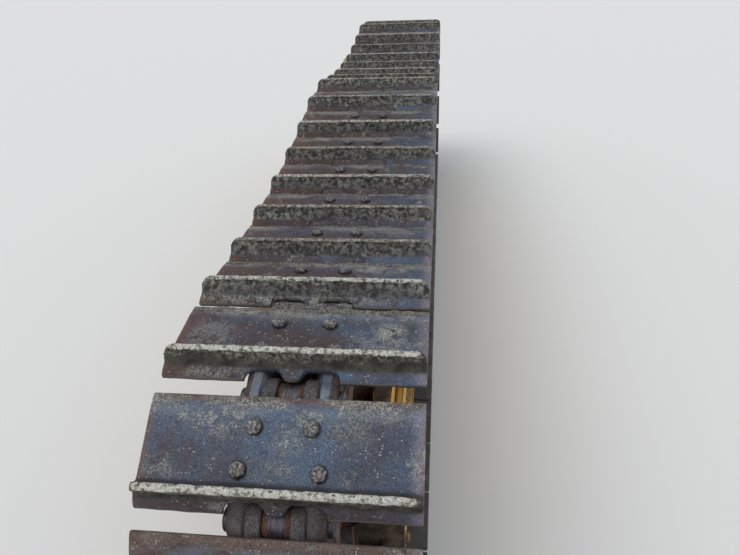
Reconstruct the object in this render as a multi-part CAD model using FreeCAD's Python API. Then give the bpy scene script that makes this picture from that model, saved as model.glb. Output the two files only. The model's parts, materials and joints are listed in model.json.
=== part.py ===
import FreeCAD, Part
import math
import os

# Crawler track unit of a bulldozer, left side of the machine.
# Millimetres. X points forward to the idler, Y outboard, Z up from the ground.
# The model is drawn about the middle plane of the track, halfway between the
# wheels, and moved at the end, so that the origin lies on the ground in the
# middle of its footprint.

# Track chain
PITCH = 171.45              # pin to pin
LINK_COUNT = 42             # pitches in the closed loop
LINK_INNER = 25.0           # half gap between the links at the bushing
LINK_THICKNESS = 22.0
LINK_STEP = 21.0            # sideways step of a link over one pitch
RAIL_HEIGHT = 50.0          # pin to the rail face that the rollers run on
SHOE_SEAT = 38.0            # pin to the face that the shoe is bolted to
LOBE_REACH = 37.0           # link end past its pin
LOBE_RISE = 10.0            # straight end of a lobe over the pin line
RAIL_CHAMFER = 6.0
BUSHING_RADIUS = 27.0
BUSHING_SIDES = 7           # flats that stand for the round

# Track shoe, single grouser
SHOE_WIDTH = 406.4
SHOE_GAP = 7.4              # between neighbouring shoes
PLATE_THICKNESS = 9.0
GROUSER_HEIGHT = 34.0       # over the plate
GROUSER_PLACE = 139.0       # from the rear pin
GROUSER_TOP = 10.0
GROUSER_BASE = 19.0
GROUSER_CORNER = 22.0       # cut off both ends of the tip
LIP_DROP = 7.0              # how far the leading lip bends in

# Path of the chain
IDLER_PITCHES = 12          # pitches in a full turn of the idler
SPROCKET_TEETH = 25         # every other tooth space holds a bushing
GROUND_PIN_HEIGHT = 81.0    # lower run of pins over the ground
WHEEL_SPREAD = 2550.0       # first guess of idler axis to sprocket axis
CARRIER_BEHIND_IDLER = 1205.0
CARRIER_PIN_RISE = 52.0     # pin line over the carrier roller above the idler's top pins
FRONT_SAG = 46.0
REAR_SAG = 56.0
FIRST_PIN_BEHIND_IDLER = 58.0

# Clearances
RUNNING_CLEARANCE = 5.0     # between a turning piece and its neighbours
SEAT_CLEARANCE = 0.3        # between curved seats
SHAFT_CLEARANCE = 0.06      # between the idler and its shaft

# Idler wheel
IDLER_FLANGE_HALF = 15.5
IDLER_FLANGE_TAPER = 3.5
IDLER_RIM_HALF = 72.0
IDLER_RIM_THICKNESS = 30.0
IDLER_RIM_BEVEL = 6.0
IDLER_RIM_FLARE = 20.0      # web root under the rim
IDLER_WEB = 18.0
IDLER_HUB_RADIUS = 78.0
IDLER_HUB_FLARE = 22.0      # web root on the hub
IDLER_RIBS = 8
IDLER_RIB_THICKNESS = 12.0
IDLER_RIB_HALF = 50.0
IDLER_RIB_LAP = 8.0         # rib into the rim and the hub
IDLER_SHAFT_RADIUS = 35.0
SHAFT_SHORT = 6.0           # shaft end inside the fork's outer faces
SHAFT_BEVEL = 3.0

# Idler bearing blocks on the fork rails, yoke and rod
BLOCK_LENGTH = 190.0
BLOCK_STANDOFF = 8.0        # from the idler's rim
BLOCK_CROWN = 62.0          # arch over the shaft centre
BLOCK_CROWN_HALF = 54.0     # where the arch meets the straight shoulders
BLOCK_SHOULDER = 8.0        # shoulder ends below the shaft centre
BLOCK_SKIRT = 92.0          # foot below the shaft centre
BLOCK_CORNER = 20.0
GUIDE_THICKNESS = 24.0
GUIDE_BEVEL = 14.0
CAP_RADIUS = 46.0
CAP_THICKNESS = 8.0
YOKE_STANDOFF = 10.0        # arms from the idler's rim
YOKE_ARM = 38.0
YOKE_RAIL_GAP = 4.0
YOKE_CROSS = 34.0
YOKE_TO_IDLER = 9.0         # cross piece from the idler's flange
YOKE_RISE = 46.0            # cross piece over the rod
YOKE_ARM_RISE = 34.0
YOKE_ARM_DROP = 30.0
ROD_RADIUS = 32.0
ROD_IN_FRAME = 60.0
GLAND_RADIUS = 60.0
GLAND_THICKNESS = 10.0

# Track frame, an inverted channel with bottom flanges
FRAME_PLATE = 16.0
FRAME_BOTTOM = 252.0
FRAME_TOP = 492.0
ROOF_CORNER = 56.0          # rounded edges of the roof
FLANGE_INBOARD = 44.0       # bottom flange, either side of the wall's outer face
FLANGE_OUTBOARD = 18.0
FLANGE_THICKNESS = 18.0
FORK_UNDER_SHAFT = 2.0      # fork rail under the idler shaft
FORK_DEPTH = 86.0
FORK_NOSE = 165.0           # fork rail past the idler axis
FORK_NOSE_RISE = 30.0
FORK_ROOT = 120.0           # rail along the channel's wall
FORK_KNEE = 133.0           # underside straightens this far behind the idler axis
FORK_HEEL = 10.0
FORK_LEAN = 40.0
FORK_LEAN_BACK = 20.0
FRAME_TO_IDLER = 372.0      # front end of the channel behind the idler axis
FRAME_TO_SPROCKET = 367.0   # rear end of the channel ahead of the sprocket axis
GUSSET_COUNT = 6
GUSSET_THICKNESS = 12.0
GUSSET_HEIGHT = 96.0
GUSSET_END_GAP = 130.0      # first and last gusset from the channel's ends

# Recoil cover on the roof
RECOIL_LENGTH = 390.0
RECOIL_BEHIND_FRONT = 30.0
RECOIL_HALF = 72.0
RECOIL_RIM = 20.0
RECOIL_RIM_THICKNESS = 8.0
RECOIL_CROWN = 36.0

# Bottom rollers and their mounts
ROLLER_COUNT = 6
ROLLER_TREAD = 85.0
ROLLER_FLANGE = 101.0
ROLLER_FLANGE_WIDTH = 11.0
ROLLER_FLANGE_SLOPE = 3.0
ROLLER_RAIL_GAP = 2.0       # flange beside the chain's rails
ROLLER_INSIDE = 4.0         # tread past the inner edge of the rails
ROLLER_WAIST = 67.0
ROLLER_INNER_FLANGE = 100.0
ROLLER_INNER_FLANGE_HALF = 8.0
ROLLER_END_RADIUS = 44.0
ROLLER_END_RECESS = 6.0
ROLLER_SHAFT_RADIUS = 30.0
ROLLER_FROM_IDLER = 498.0
ROLLER_FROM_SPROCKET = 490.0
COLLAR_GAP = 3.0            # beside the roller
COLLAR_HALF = 60.0
COLLAR_RADIUS = 46.0
COLLAR_FOOT = 18.0
COLLAR_EDGE = 2.0           # inside the frame wall's outer face

# Guards beside the lower chain
GUARD_THICKNESS = 14.0
GUARD_BOTTOM = 122.0
GUARD_LENGTH = 170.0
GUARD_CORNER = 30.0

# Carrier roller and bracket
CARRIER_TREAD = 80.0
CARRIER_FLANGE = 92.0
CARRIER_FLANGE_WIDTH = 14.0
CARRIER_GROOVE = 14.0
CARRIER_GROOVE_HALF = 12.0
CARRIER_GROOVE_FLOOR = 8.0
CARRIER_SHAFT_RADIUS = 32.0
CARRIER_CAP_RADIUS = 52.0
CARRIER_CAP = 6.0
CLAMP_GAP = 20.0            # beside the roller
CLAMP_WIDTH = 46.0
CLAMP_RADIUS = 56.0
CLAMP_SLIT = 5.0
EAR_THICKNESS = 18.0
EAR_HEIGHT = 26.0
POST_LENGTH = 104.0
POST_PLATE = 18.0
POST_OVER_ROOF = 8.0        # straight part of the post over the roof
POST_LEAN = 34.0            # rise of the leaning part
FOOT_LENGTH = 230.0
FOOT_BOTTOM = 312.0
FOOT_CORNER = 40.0

# Sprocket and hub
SPROCKET_HALF = 18.0
SEGMENT_COUNT = 5
SEGMENT_INNER = 222.0
SEGMENT_GAP = 1.0
TOOTH_RISE = 12.0           # tooth tip over the pitch circle
TOOTH_TIP = 16.0
HUB_FLANGE_RADIUS = 274.0
HUB_FLANGE_THICKNESS = 22.0
HUB_PILOT_STEP = 12.0
HUB_BARREL_RADIUS = 152.0
HUB_FACE = 30.0             # outboard face of the barrel
HUB_BACK = 84.0             # inboard face of the barrel
HUB_BORE = 60.0
HUB_CONE = 10.0             # the cone's foot is this much larger than the barrel
HUB_RIBS = 10
HUB_RIB_THICKNESS = 12.0
HUB_RIB_RISE = 16.0
HUB_RIB_INSET = 6.0         # rib ends short of the pilot
HUB_RIB_SHORT = 4.0         # and of the barrel's face

# Final drive
COVER_RIM = 14.0
COVER_SHOULDER_RADIUS = 128.0
COVER_DOME_RADIUS = 108.0
COVER_DOME_START = 112.0
COVER_REACH = 150.0
COVER_FACE_RADIUS = 70.0
COVER_BOSS_RADIUS = 34.0
COVER_BOSS = 6.0
DRIVE_RADIUS = 188.0
DRIVE_NOSE_RADIUS = 148.0
DRIVE_NOSE = 14.0
DRIVE_SHOULDER_STEP = 48.0  # shoulder's edge past the barrel
DRIVE_SHOULDER = 18.0
DRIVE_TAPER = 8.0
DRIVE_FLANGE_STEP = 44.0    # machine flange's edge past the barrel
DRIVE_FLANGE = 24.0
DRIVE_BOLT_STEP = 22.0      # bolt circle past the barrel
DRIVE_BOLTS = 12
DRIVE_BOLT_HOLE = 11.0
DRIVE_RIBS = 6
DRIVE_RIB_THICKNESS = 16.0
ARM_THICKNESS = 26.0
ARM_RING_RADIUS = 262.0
ARM_LAP = 200.0             # arm plate along the channel's side
ARM_TOP_DROP = 16.0

# Brackets that carry the unit on the machine's main frame
MOUNT_REACH = 300.0         # track middle to the mounting faces
MOUNT_PLATE = 24.0
MOUNT_LENGTH = 330.0
MOUNT_HEIGHT = 230.0
MOUNT_CORNER = 24.0
MOUNT_BOLT_X = 250.0
MOUNT_BOLT_Z = 150.0
MOUNT_BOLT_HOLE = 13.0
MOUNT_WEB = 22.0
MOUNT_WEB_HALF = 84.0       # webs from the bracket's middle
MOUNT_WEB_EDGE = 12.0
MOUNT_MIDDLE = 350.0        # height of the bolt pattern's middle
FRONT_MOUNT_BEHIND_IDLER = 760.0
REAR_MOUNT_AHEAD_OF_SPROCKET = 800.0

# Worked out from the sizes above
OVERCUT = 1.0               # cutters past the faces they cut
IDLER_PIN_RADIUS = PITCH / (2.0 * math.sin(math.pi / IDLER_PITCHES))
SPROCKET_PIN_RADIUS = PITCH / (2.0 * math.sin(2.0 * math.pi / SPROCKET_TEETH))
IDLER_Z = GROUND_PIN_HEIGHT + IDLER_PIN_RADIUS
SPROCKET_Z = GROUND_PIN_HEIGHT + SPROCKET_PIN_RADIUS
LINK_LEAN = LINK_STEP / PITCH
LINK_OUTER = LINK_INNER + LINK_LEAN * (PITCH + LOBE_REACH) + LINK_THICKNESS
IDLER_MID_LINK = IDLER_PIN_RADIUS * math.cos(math.pi / IDLER_PITCHES)
IDLER_TREAD = IDLER_MID_LINK - RAIL_HEIGHT - RUNNING_CLEARANCE
IDLER_FLANGE = IDLER_PIN_RADIUS - BUSHING_RADIUS - RUNNING_CLEARANCE
CARRIER_HUMP_Z = IDLER_Z + IDLER_PIN_RADIUS + CARRIER_PIN_RISE
CARRIER_PIN_RADIUS = CARRIER_TREAD + RAIL_HEIGHT
SHOE_TOP = SHOE_SEAT + PLATE_THICKNESS
SHOE_TIP = SHOE_TOP + GROUSER_HEIGHT
RAIL_INNER = IDLER_RIM_HALF + YOKE_STANDOFF + YOKE_ARM + YOKE_RAIL_GAP
FRAME_HALF = RAIL_INNER + FRAME_PLATE
FRAME_SHOULDER = FRAME_TOP - ROOF_CORNER
FORK_TOP = IDLER_Z - IDLER_SHAFT_RADIUS - FORK_UNDER_SHAFT
YOKE_FRONT = IDLER_FLANGE + YOKE_TO_IDLER
ROLLER_HALF = LINK_OUTER + ROLLER_RAIL_GAP + ROLLER_FLANGE_SLOPE + ROLLER_FLANGE_WIDTH
ROLLER_Z = GROUND_PIN_HEIGHT + RAIL_HEIGHT + SEAT_CLEARANCE + ROLLER_TREAD
COLLAR_INNER = ROLLER_HALF + COLLAR_GAP
CLAMP_OUTER = LINK_OUTER + CLAMP_GAP
CLAMP_INNER = CLAMP_OUTER + CLAMP_WIDTH
DRIVE_SHOULDER_RADIUS = DRIVE_RADIUS + DRIVE_SHOULDER_STEP
DRIVE_FLANGE_RADIUS = DRIVE_RADIUS + DRIVE_FLANGE_STEP
DRIVE_BOLT_RADIUS = DRIVE_RADIUS + DRIVE_BOLT_STEP

OUTER = 1.0
INNER = -1.0


# Small helpers

def vec(x, y, z):
    return FreeCAD.Vector(x, y, z)


def closed_face(steps, place):
    """Flat face from (u, v) corners; a step of four numbers is reached by an arc through its last two."""
    edges = []
    start = place(*steps[-1][:2])
    for step in steps:
        end = place(*step[:2])
        if len(step) == 4:
            edges.append(Part.Arc(start, place(*step[2:]), end).toShape())
        else:
            edges.append(Part.LineSegment(start, end).toShape())
        start = end
    return Part.Face(Part.Wire(edges))


def side_prism(steps, y_from, y_to):
    """Plate cut to an (x, z) outline."""
    low, high = sorted((y_from, y_to))
    return closed_face(steps, lambda x, z: vec(x, low, z)).extrude(vec(0, high - low, 0))


def end_prism(steps, x_from, x_to):
    """Bar with a (y, z) section that runs along X."""
    low, high = sorted((x_from, x_to))
    return closed_face(steps, lambda y, z: vec(low, y, z)).extrude(vec(high - low, 0, 0))


def block(x_from, x_to, y_from, y_to, z_from, z_to):
    y_low, y_high = sorted((y_from, y_to))
    return Part.makeBox(x_to - x_from, y_high - y_low, z_to - z_from, vec(x_from, y_low, z_from))


def rod(radius, y_from, y_to, x, z):
    """Round bar across the track."""
    low, high = sorted((y_from, y_to))
    return Part.makeCylinder(radius, high - low, vec(x, low, z), vec(0, 1, 0))


def lengthways(radius, x_from, x_to, y, z):
    """Round bar along the track."""
    return Part.makeCylinder(radius, x_to - x_from, vec(x_from, y, z), vec(1, 0, 0))


def turned(steps, x, z):
    """Solid turned about an axis across the track, from (y, radius) corners."""
    face = closed_face(steps, lambda y, radius: vec(x, y, z + radius))
    return face.revolve(vec(x, 0, z), vec(0, 1, 0), 360.0)


def spoke_set(steps, thickness, count, x, z):
    """Ribs with a (y, radius) outline, spread evenly about an axis across the track."""
    ribs = []
    for i in range(count):
        face = closed_face(steps, lambda y, radius: vec(x - 0.5 * thickness, y, z + radius))
        rib = face.extrude(vec(thickness, 0, 0))
        rib.rotate(vec(x, 0, z), vec(0, 1, 0), 360.0 * i / count)
        ribs.append(rib)
    return ribs


def joined(shapes):
    """One clean solid from pieces that are welded or cast together."""
    whole = shapes[0].multiFuse(shapes[1:]) if len(shapes) > 1 else shapes[0]
    return whole.removeSplitter()


# Path of the chain pins

def circle_point(circle, angle):
    """Point of a circle at an angle from its top, positive towards the front."""
    x, z, radius = circle
    return (x + radius * math.sin(angle), z + radius * math.cos(angle))


def hanging_span(rear, front, sag):
    """Parabola that leaves one circle and meets the next with no kink.

    Returns the leaving angle on the rear circle, the meeting angle on the
    front circle, the span's length and the curve itself.
    """
    rear_angle = front_angle = 0.0
    for _ in range(60):
        x0, z0 = circle_point(rear, rear_angle)
        x1, z1 = circle_point(front, front_angle)
        length = x1 - x0
        slope = (z1 - z0) / length
        bend = 4.0 * sag / length
        rear_angle = math.atan(bend - slope)
        front_angle = -math.atan(bend + slope)

    def curve(t):
        return (x0 + length * t, z0 + (z1 - z0) * t - 4.0 * sag * t * (1.0 - t))

    return rear_angle, front_angle, length, curve


def arc_of(circle, start, end):
    """Stretch of a circle between two angles from its top."""
    def curve(t):
        return circle_point(circle, start + (end - start) * t)

    return abs(end - start) * circle[2], curve


def chain_path(idler_x, sprocket_x, carrier):
    """Pieces of the pin line as (length, curve), from under the sprocket onwards."""
    sprocket = (sprocket_x, SPROCKET_Z, SPROCKET_PIN_RADIUS)
    idler = (idler_x, IDLER_Z, IDLER_PIN_RADIUS)
    leave_sprocket, meet_carrier, rear_length, rear_curve = hanging_span(sprocket, carrier, REAR_SAG)
    leave_carrier, meet_idler, front_length, front_curve = hanging_span(carrier, idler, FRONT_SAG)

    def lower_run(t):
        return (idler_x + (sprocket_x - idler_x) * t, GROUND_PIN_HEIGHT)

    return [
        arc_of(sprocket, -math.pi, leave_sprocket),
        (rear_length, rear_curve),
        arc_of(carrier, meet_carrier, leave_carrier),
        (front_length, front_curve),
        arc_of(idler, meet_idler, math.pi),
        (idler_x - sprocket_x, lower_run),
    ]


def path_point(path, travel):
    """Point at a distance along the closed path."""
    travel = travel % sum(length for length, curve in path)
    for length, curve in path:
        if travel <= length:
            return curve(travel / length)
        travel -= length
    return path[-1][1](1.0)


def next_pin(path, travel):
    """Distance along the path of the pin one pitch further on."""
    x0, z0 = path_point(path, travel)
    low, high = travel + 0.8 * PITCH, travel + 1.2 * PITCH
    for _ in range(50):
        middle = 0.5 * (low + high)
        x1, z1 = path_point(path, middle)
        if math.hypot(x1 - x0, z1 - z0) < PITCH:
            low = middle
        else:
            high = middle
    return low


def first_pin(path, x):
    """Distance along the path of the upper run's point at x."""
    low = path[0][0]
    high = sum(length for length, curve in path[:4]) + 0.25 * math.pi * IDLER_PIN_RADIUS
    for _ in range(60):
        middle = 0.5 * (low + high)
        if path_point(path, middle)[0] < x:
            low = middle
        else:
            high = middle
    return low


def walk_chain(spread):
    """Pins of a chain with the wheels this far apart, and what is left over at its end."""
    idler_x = 0.5 * spread
    carrier = (idler_x - CARRIER_BEHIND_IDLER, CARRIER_HUMP_Z - CARRIER_PIN_RADIUS, CARRIER_PIN_RADIUS)
    path = chain_path(idler_x, -0.5 * spread, carrier)
    start = first_pin(path, idler_x - FIRST_PIN_BEHIND_IDLER)
    travel = start
    pins = []
    for _ in range(LINK_COUNT):
        pins.append(path_point(path, travel))
        travel = next_pin(path, travel)
    return pins, travel - start - sum(length for length, curve in path)


def closed_chain():
    """Wheel spread at which the chain closes, and its pins."""
    low, high = WHEEL_SPREAD - 2.0 * PITCH, WHEEL_SPREAD + 2.0 * PITCH
    for _ in range(50):
        spread = 0.5 * (low + high)
        if walk_chain(spread)[1] > 0.0:
            low = spread
        else:
            high = spread
    return spread, walk_chain(spread)[0]


SPREAD, PINS = closed_chain()
IDLER_X = 0.5 * SPREAD
SPROCKET_X = -0.5 * SPREAD
CARRIER_X = IDLER_X - CARRIER_BEHIND_IDLER
FRAME_FRONT = IDLER_X - FRAME_TO_IDLER
FRAME_REAR = SPROCKET_X + FRAME_TO_SPROCKET
LINKS = list(zip(PINS, PINS[1:] + PINS[:1]))


def link_frame(rear, front):
    """Unit vectors along a link and away from the wheels."""
    along = ((front[0] - rear[0]) / PITCH, (front[1] - rear[1]) / PITCH)
    return along, (-along[1], along[0])


def on_link(link, points):
    """Link points, given as distance from the rear pin and height over the pin line."""
    rear, front = link
    along, out = link_frame(rear, front)
    return [
        (rear[0] + s * along[0] + n * out[0], rear[1] + s * along[1] + n * out[1])
        for s, n in points
    ]


def across_link(link, section, start, end):
    """Bar along a link with a section given as (side, height over the pin line)."""
    along, out = link_frame(*link)
    x, z = on_link(link, [(start, 0.0)])[0]
    run = end - start
    face = closed_face(section, lambda y, n: vec(x + n * out[0], y, z + n * out[1]))
    return face.extrude(vec(run * along[0], 0, run * along[1]))


def carrier_height():
    """Height at which the carrier roller's tread meets the rails above it."""
    height = CARRIER_HUMP_Z
    for link in LINKS:
        (x0, z0), (x1, z1) = on_link(link, [(-LOBE_REACH, -RAIL_HEIGHT), (PITCH + LOBE_REACH, -RAIL_HEIGHT)])
        if x0 < CARRIER_X < x1:
            slope = (z1 - z0) / (x1 - x0)
            rail = z0 + slope * (CARRIER_X - x0)
            room = (CARRIER_TREAD + SEAT_CLEARANCE) * math.hypot(1.0, slope)
            height = min(height, rail - room)
    return height


CARRIER_Z = carrier_height()


# Track

def shoe_outline():
    """Side view of a shoe as (distance from the rear pin, height over the pin line)."""
    front = PITCH - 0.5 * SHOE_GAP
    return [
        (0.5 * SHOE_GAP, SHOE_SEAT),
        (0.5 * SHOE_GAP, SHOE_TOP),
        (GROUSER_PLACE - 0.5 * GROUSER_BASE, SHOE_TOP),
        (GROUSER_PLACE - 0.5 * GROUSER_TOP, SHOE_TIP),
        (GROUSER_PLACE + 0.5 * GROUSER_TOP, SHOE_TIP),
        (GROUSER_PLACE + 0.5 * GROUSER_BASE, SHOE_TOP),
        (front, SHOE_TOP - LIP_DROP),
        (front, SHOE_SEAT),
    ]


def shoe(link):
    """Single grouser shoe with a bent leading lip and cut grouser corners."""
    half = 0.5 * SHOE_WIDTH
    plate = side_prism(on_link(link, shoe_outline()), -half, half)
    corners = []
    for side in (OUTER, INNER):
        cut = [
            (side * half, SHOE_TIP - GROUSER_CORNER),
            (side * (half - GROUSER_CORNER), SHOE_TIP),
            (side * half, SHOE_TIP + OVERCUT),
        ]
        corners.append(across_link(link, cut, GROUSER_PLACE - GROUSER_BASE, GROUSER_PLACE + GROUSER_BASE))
    return plate.cut(corners)


def link_bar(link, side):
    """Link that runs outwards from its bushing end to its pin end."""
    outline = [
        (-LOBE_REACH + RAIL_CHAMFER, -RAIL_HEIGHT),
        (PITCH + LOBE_REACH - RAIL_CHAMFER, -RAIL_HEIGHT),
        (PITCH + LOBE_REACH, LOBE_RISE),
        (PITCH - 0.5 * SHOE_GAP, SHOE_SEAT),
        (0.5 * SHOE_GAP, SHOE_SEAT),
        (-LOBE_REACH, LOBE_RISE),
    ]
    corners = []
    for s, n in outline:
        x, z = on_link(link, [(s, n)])[0]
        corners.append(vec(x, side * (LINK_INNER + LINK_LEAN * s), z))
    face = Part.Face(Part.makePolygon(corners + corners[:1]))
    return face.extrude(vec(0, side * LINK_THICKNESS, 0))


def bushing(pin):
    """Bushing between the links, in few flats."""
    corners = []
    for i in range(BUSHING_SIDES):
        turn = 2.0 * math.pi * (i + 0.5) / BUSHING_SIDES
        corners.append((pin[0] + BUSHING_RADIUS * math.cos(turn), pin[1] + BUSHING_RADIUS * math.sin(turn)))
    half = LINK_INNER + 0.5 * LINK_THICKNESS
    return side_prism(corners, -half, half)


def track():
    """The whole loop of shoes, links and bushings."""
    pieces = []
    for link in LINKS:
        pieces.append(shoe(link))
        pieces.append(link_bar(link, OUTER))
        pieces.append(link_bar(link, INNER))
        pieces.append(bushing(link[0]))
    return joined(pieces)


# Idler

def idler_wheel():
    """Rim with a middle flange that guides the chain, web, ribs and hub."""
    rim_inner = IDLER_TREAD - IDLER_RIM_THICKNESS
    half_web = 0.5 * IDLER_WEB
    half = [
        (IDLER_FLANGE_HALF - IDLER_FLANGE_TAPER, IDLER_FLANGE),
        (IDLER_FLANGE_HALF, IDLER_TREAD),
        (IDLER_RIM_HALF - IDLER_RIM_BEVEL, IDLER_TREAD),
        (IDLER_RIM_HALF, IDLER_TREAD - IDLER_RIM_BEVEL),
        (IDLER_RIM_HALF, rim_inner),
        (half_web, rim_inner - IDLER_RIM_FLARE),
        (half_web, IDLER_HUB_RADIUS + IDLER_HUB_FLARE),
        (IDLER_RIM_HALF, IDLER_HUB_RADIUS),
        (IDLER_RIM_HALF, IDLER_SHAFT_RADIUS + SHAFT_CLEARANCE),
    ]
    mirror = [(-y, radius) for y, radius in reversed(half)]
    wheel = turned(half + mirror, IDLER_X, IDLER_Z)
    rib = [
        (-IDLER_RIB_HALF, IDLER_HUB_RADIUS - IDLER_RIB_LAP),
        (IDLER_RIB_HALF, IDLER_HUB_RADIUS - IDLER_RIB_LAP),
        (IDLER_RIB_HALF, rim_inner + IDLER_RIB_LAP),
        (-IDLER_RIB_HALF, rim_inner + IDLER_RIB_LAP),
    ]
    return joined([wheel] + spoke_set(rib, IDLER_RIB_THICKNESS, IDLER_RIBS, IDLER_X, IDLER_Z))


def idler_shaft():
    half = FRAME_HALF - SHAFT_SHORT
    profile = [
        (half, 0.0),
        (half, IDLER_SHAFT_RADIUS - SHAFT_BEVEL),
        (half - SHAFT_BEVEL, IDLER_SHAFT_RADIUS),
        (-half + SHAFT_BEVEL, IDLER_SHAFT_RADIUS),
        (-half, IDLER_SHAFT_RADIUS - SHAFT_BEVEL),
        (-half, 0.0),
    ]
    return turned(profile, IDLER_X, IDLER_Z)


def idler_block(side):
    """Arched bearing block that saddles a fork rail, with a cap over the shaft's end."""
    inner = IDLER_RIM_HALF + BLOCK_STANDOFF
    rail_inner = RAIL_INNER - SEAT_CLEARANCE
    rail_outer = FRAME_HALF + SEAT_CLEARANCE
    outer = rail_outer + GUIDE_THICKNESS
    half = 0.5 * BLOCK_LENGTH
    low = IDLER_Z - BLOCK_SKIRT
    crown = IDLER_Z + BLOCK_CROWN
    shoulder = IDLER_Z - BLOCK_SHOULDER
    arch_foot = IDLER_Z + math.sqrt(BLOCK_CROWN ** 2 - BLOCK_CROWN_HALF ** 2)
    section = [
        (side * inner, crown),
        (side * (outer - GUIDE_BEVEL), crown),
        (side * outer, crown - GUIDE_BEVEL),
        (side * outer, low),
        (side * rail_outer, low),
        (side * rail_outer, FORK_TOP),
        (side * rail_inner, FORK_TOP),
        (side * rail_inner, low),
        (side * inner, low),
    ]
    outline = [
        (IDLER_X - half + BLOCK_CORNER, low),
        (IDLER_X + half - BLOCK_CORNER, low),
        (IDLER_X + half, low + BLOCK_CORNER),
        (IDLER_X + half, shoulder),
        (IDLER_X + BLOCK_CROWN_HALF, arch_foot),
        (IDLER_X - BLOCK_CROWN_HALF, arch_foot, IDLER_X, crown),
        (IDLER_X - half, shoulder),
        (IDLER_X - half, low + BLOCK_CORNER),
    ]
    body = end_prism(section, IDLER_X - half, IDLER_X + half)
    body = body.common(side_prism(outline, side * inner, side * outer))
    cap = rod(CAP_RADIUS, side * (outer - GUIDE_BEVEL), side * (outer + CAP_THICKNESS), IDLER_X, IDLER_Z)
    hole = rod(IDLER_SHAFT_RADIUS + SEAT_CLEARANCE, side * (inner - OVERCUT),
               side * (FRAME_HALF - SHAFT_SHORT + SEAT_CLEARANCE), IDLER_X, IDLER_Z)
    return joined([body, cap]).cut(hole)


def idler_yoke():
    """Tapered arms that push both bearing blocks, joined behind the wheel."""
    outer = RAIL_INNER - YOKE_RAIL_GAP
    inner = outer - YOKE_ARM
    arm_front = IDLER_X - 0.5 * BLOCK_LENGTH
    cross_front = IDLER_X - YOKE_FRONT
    cross_rear = cross_front - YOKE_CROSS
    arm = [
        (cross_rear, IDLER_Z - YOKE_RISE),
        (cross_front, IDLER_Z - YOKE_RISE),
        (arm_front, IDLER_Z - YOKE_ARM_DROP),
        (arm_front, IDLER_Z + YOKE_ARM_RISE),
        (cross_front, IDLER_Z + YOKE_RISE),
        (cross_rear, IDLER_Z + YOKE_RISE),
    ]
    pieces = [block(cross_rear, cross_front, -outer, outer, IDLER_Z - YOKE_RISE, IDLER_Z + YOKE_RISE)]
    for side in (OUTER, INNER):
        pieces.append(side_prism(arm, side * inner, side * outer))
    return joined(pieces)


def recoil_rod():
    """Rod from the yoke into the spring housing."""
    cross_rear = IDLER_X - YOKE_FRONT - YOKE_CROSS
    return lengthways(ROD_RADIUS, FRAME_FRONT - ROD_IN_FRAME, cross_rear, 0, IDLER_Z)


# Track frame

def frame_section(inset, bottom):
    """Channel section with rounded roof edges, shrunk by a plate thickness for its inside."""
    half = FRAME_HALF - inset
    top = FRAME_TOP - inset
    roof = FRAME_HALF - ROOF_CORNER
    corner = (ROOF_CORNER - inset) * math.sqrt(0.5)
    return [
        (-half, bottom),
        (half, bottom),
        (half, FRAME_SHOULDER),
        (roof, top, roof + corner, FRAME_SHOULDER + corner),
        (-roof, top),
        (-half, FRAME_SHOULDER, -roof - corner, FRAME_SHOULDER + corner),
    ]


def fork_rail(side):
    """Rail in front of the channel that carries a bearing block."""
    bottom = FORK_TOP - FORK_DEPTH
    nose = IDLER_X + FORK_NOSE
    outline = [
        (FRAME_FRONT - FORK_ROOT, FRAME_BOTTOM),
        (FRAME_FRONT + FORK_HEEL, FRAME_BOTTOM),
        (IDLER_X - FORK_KNEE, bottom),
        (nose, bottom + FORK_NOSE_RISE),
        (nose, FORK_TOP),
        (FRAME_FRONT + FORK_LEAN, FORK_TOP),
        (FRAME_FRONT - FORK_LEAN_BACK, FRAME_SHOULDER),
        (FRAME_FRONT - FORK_ROOT, FRAME_SHOULDER),
    ]
    return side_prism(outline, side * RAIL_INNER, side * FRAME_HALF)


def wall_gussets():
    """Upright ribs on the outer wall, standing on the bottom flange."""
    foot = FRAME_BOTTOM + FLANGE_THICKNESS
    section = [(FRAME_HALF, foot), (FRAME_HALF + FLANGE_OUTBOARD, foot), (FRAME_HALF, foot + GUSSET_HEIGHT)]
    first = FRAME_REAR + GUSSET_END_GAP
    step = (FRAME_FRONT - GUSSET_END_GAP - first) / (GUSSET_COUNT - 1)
    ribs = []
    for i in range(GUSSET_COUNT):
        x = first + step * i
        ribs.append(end_prism(section, x - 0.5 * GUSSET_THICKNESS, x + 0.5 * GUSSET_THICKNESS))
    return ribs


def drive_arm():
    """Inboard plate that carries the final drive behind the channel."""
    low = -FRAME_HALF - ARM_THICKNESS
    reach = FRAME_REAR + ARM_LAP
    outline = [
        (SPROCKET_X, SPROCKET_Z - ARM_RING_RADIUS),
        (reach, FRAME_BOTTOM + FLANGE_THICKNESS),
        (reach, FRAME_SHOULDER - ARM_TOP_DROP),
        (SPROCKET_X, SPROCKET_Z + ARM_RING_RADIUS),
    ]
    plate = side_prism(outline, low, -FRAME_HALF)
    ring = rod(ARM_RING_RADIUS, low, -FRAME_HALF, SPROCKET_X, SPROCKET_Z)
    hole = rod(DRIVE_RADIUS + SEAT_CLEARANCE, low - OVERCUT, -FRAME_HALF + OVERCUT, SPROCKET_X, SPROCKET_Z)
    return plate.fuse(ring).cut(hole)


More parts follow.
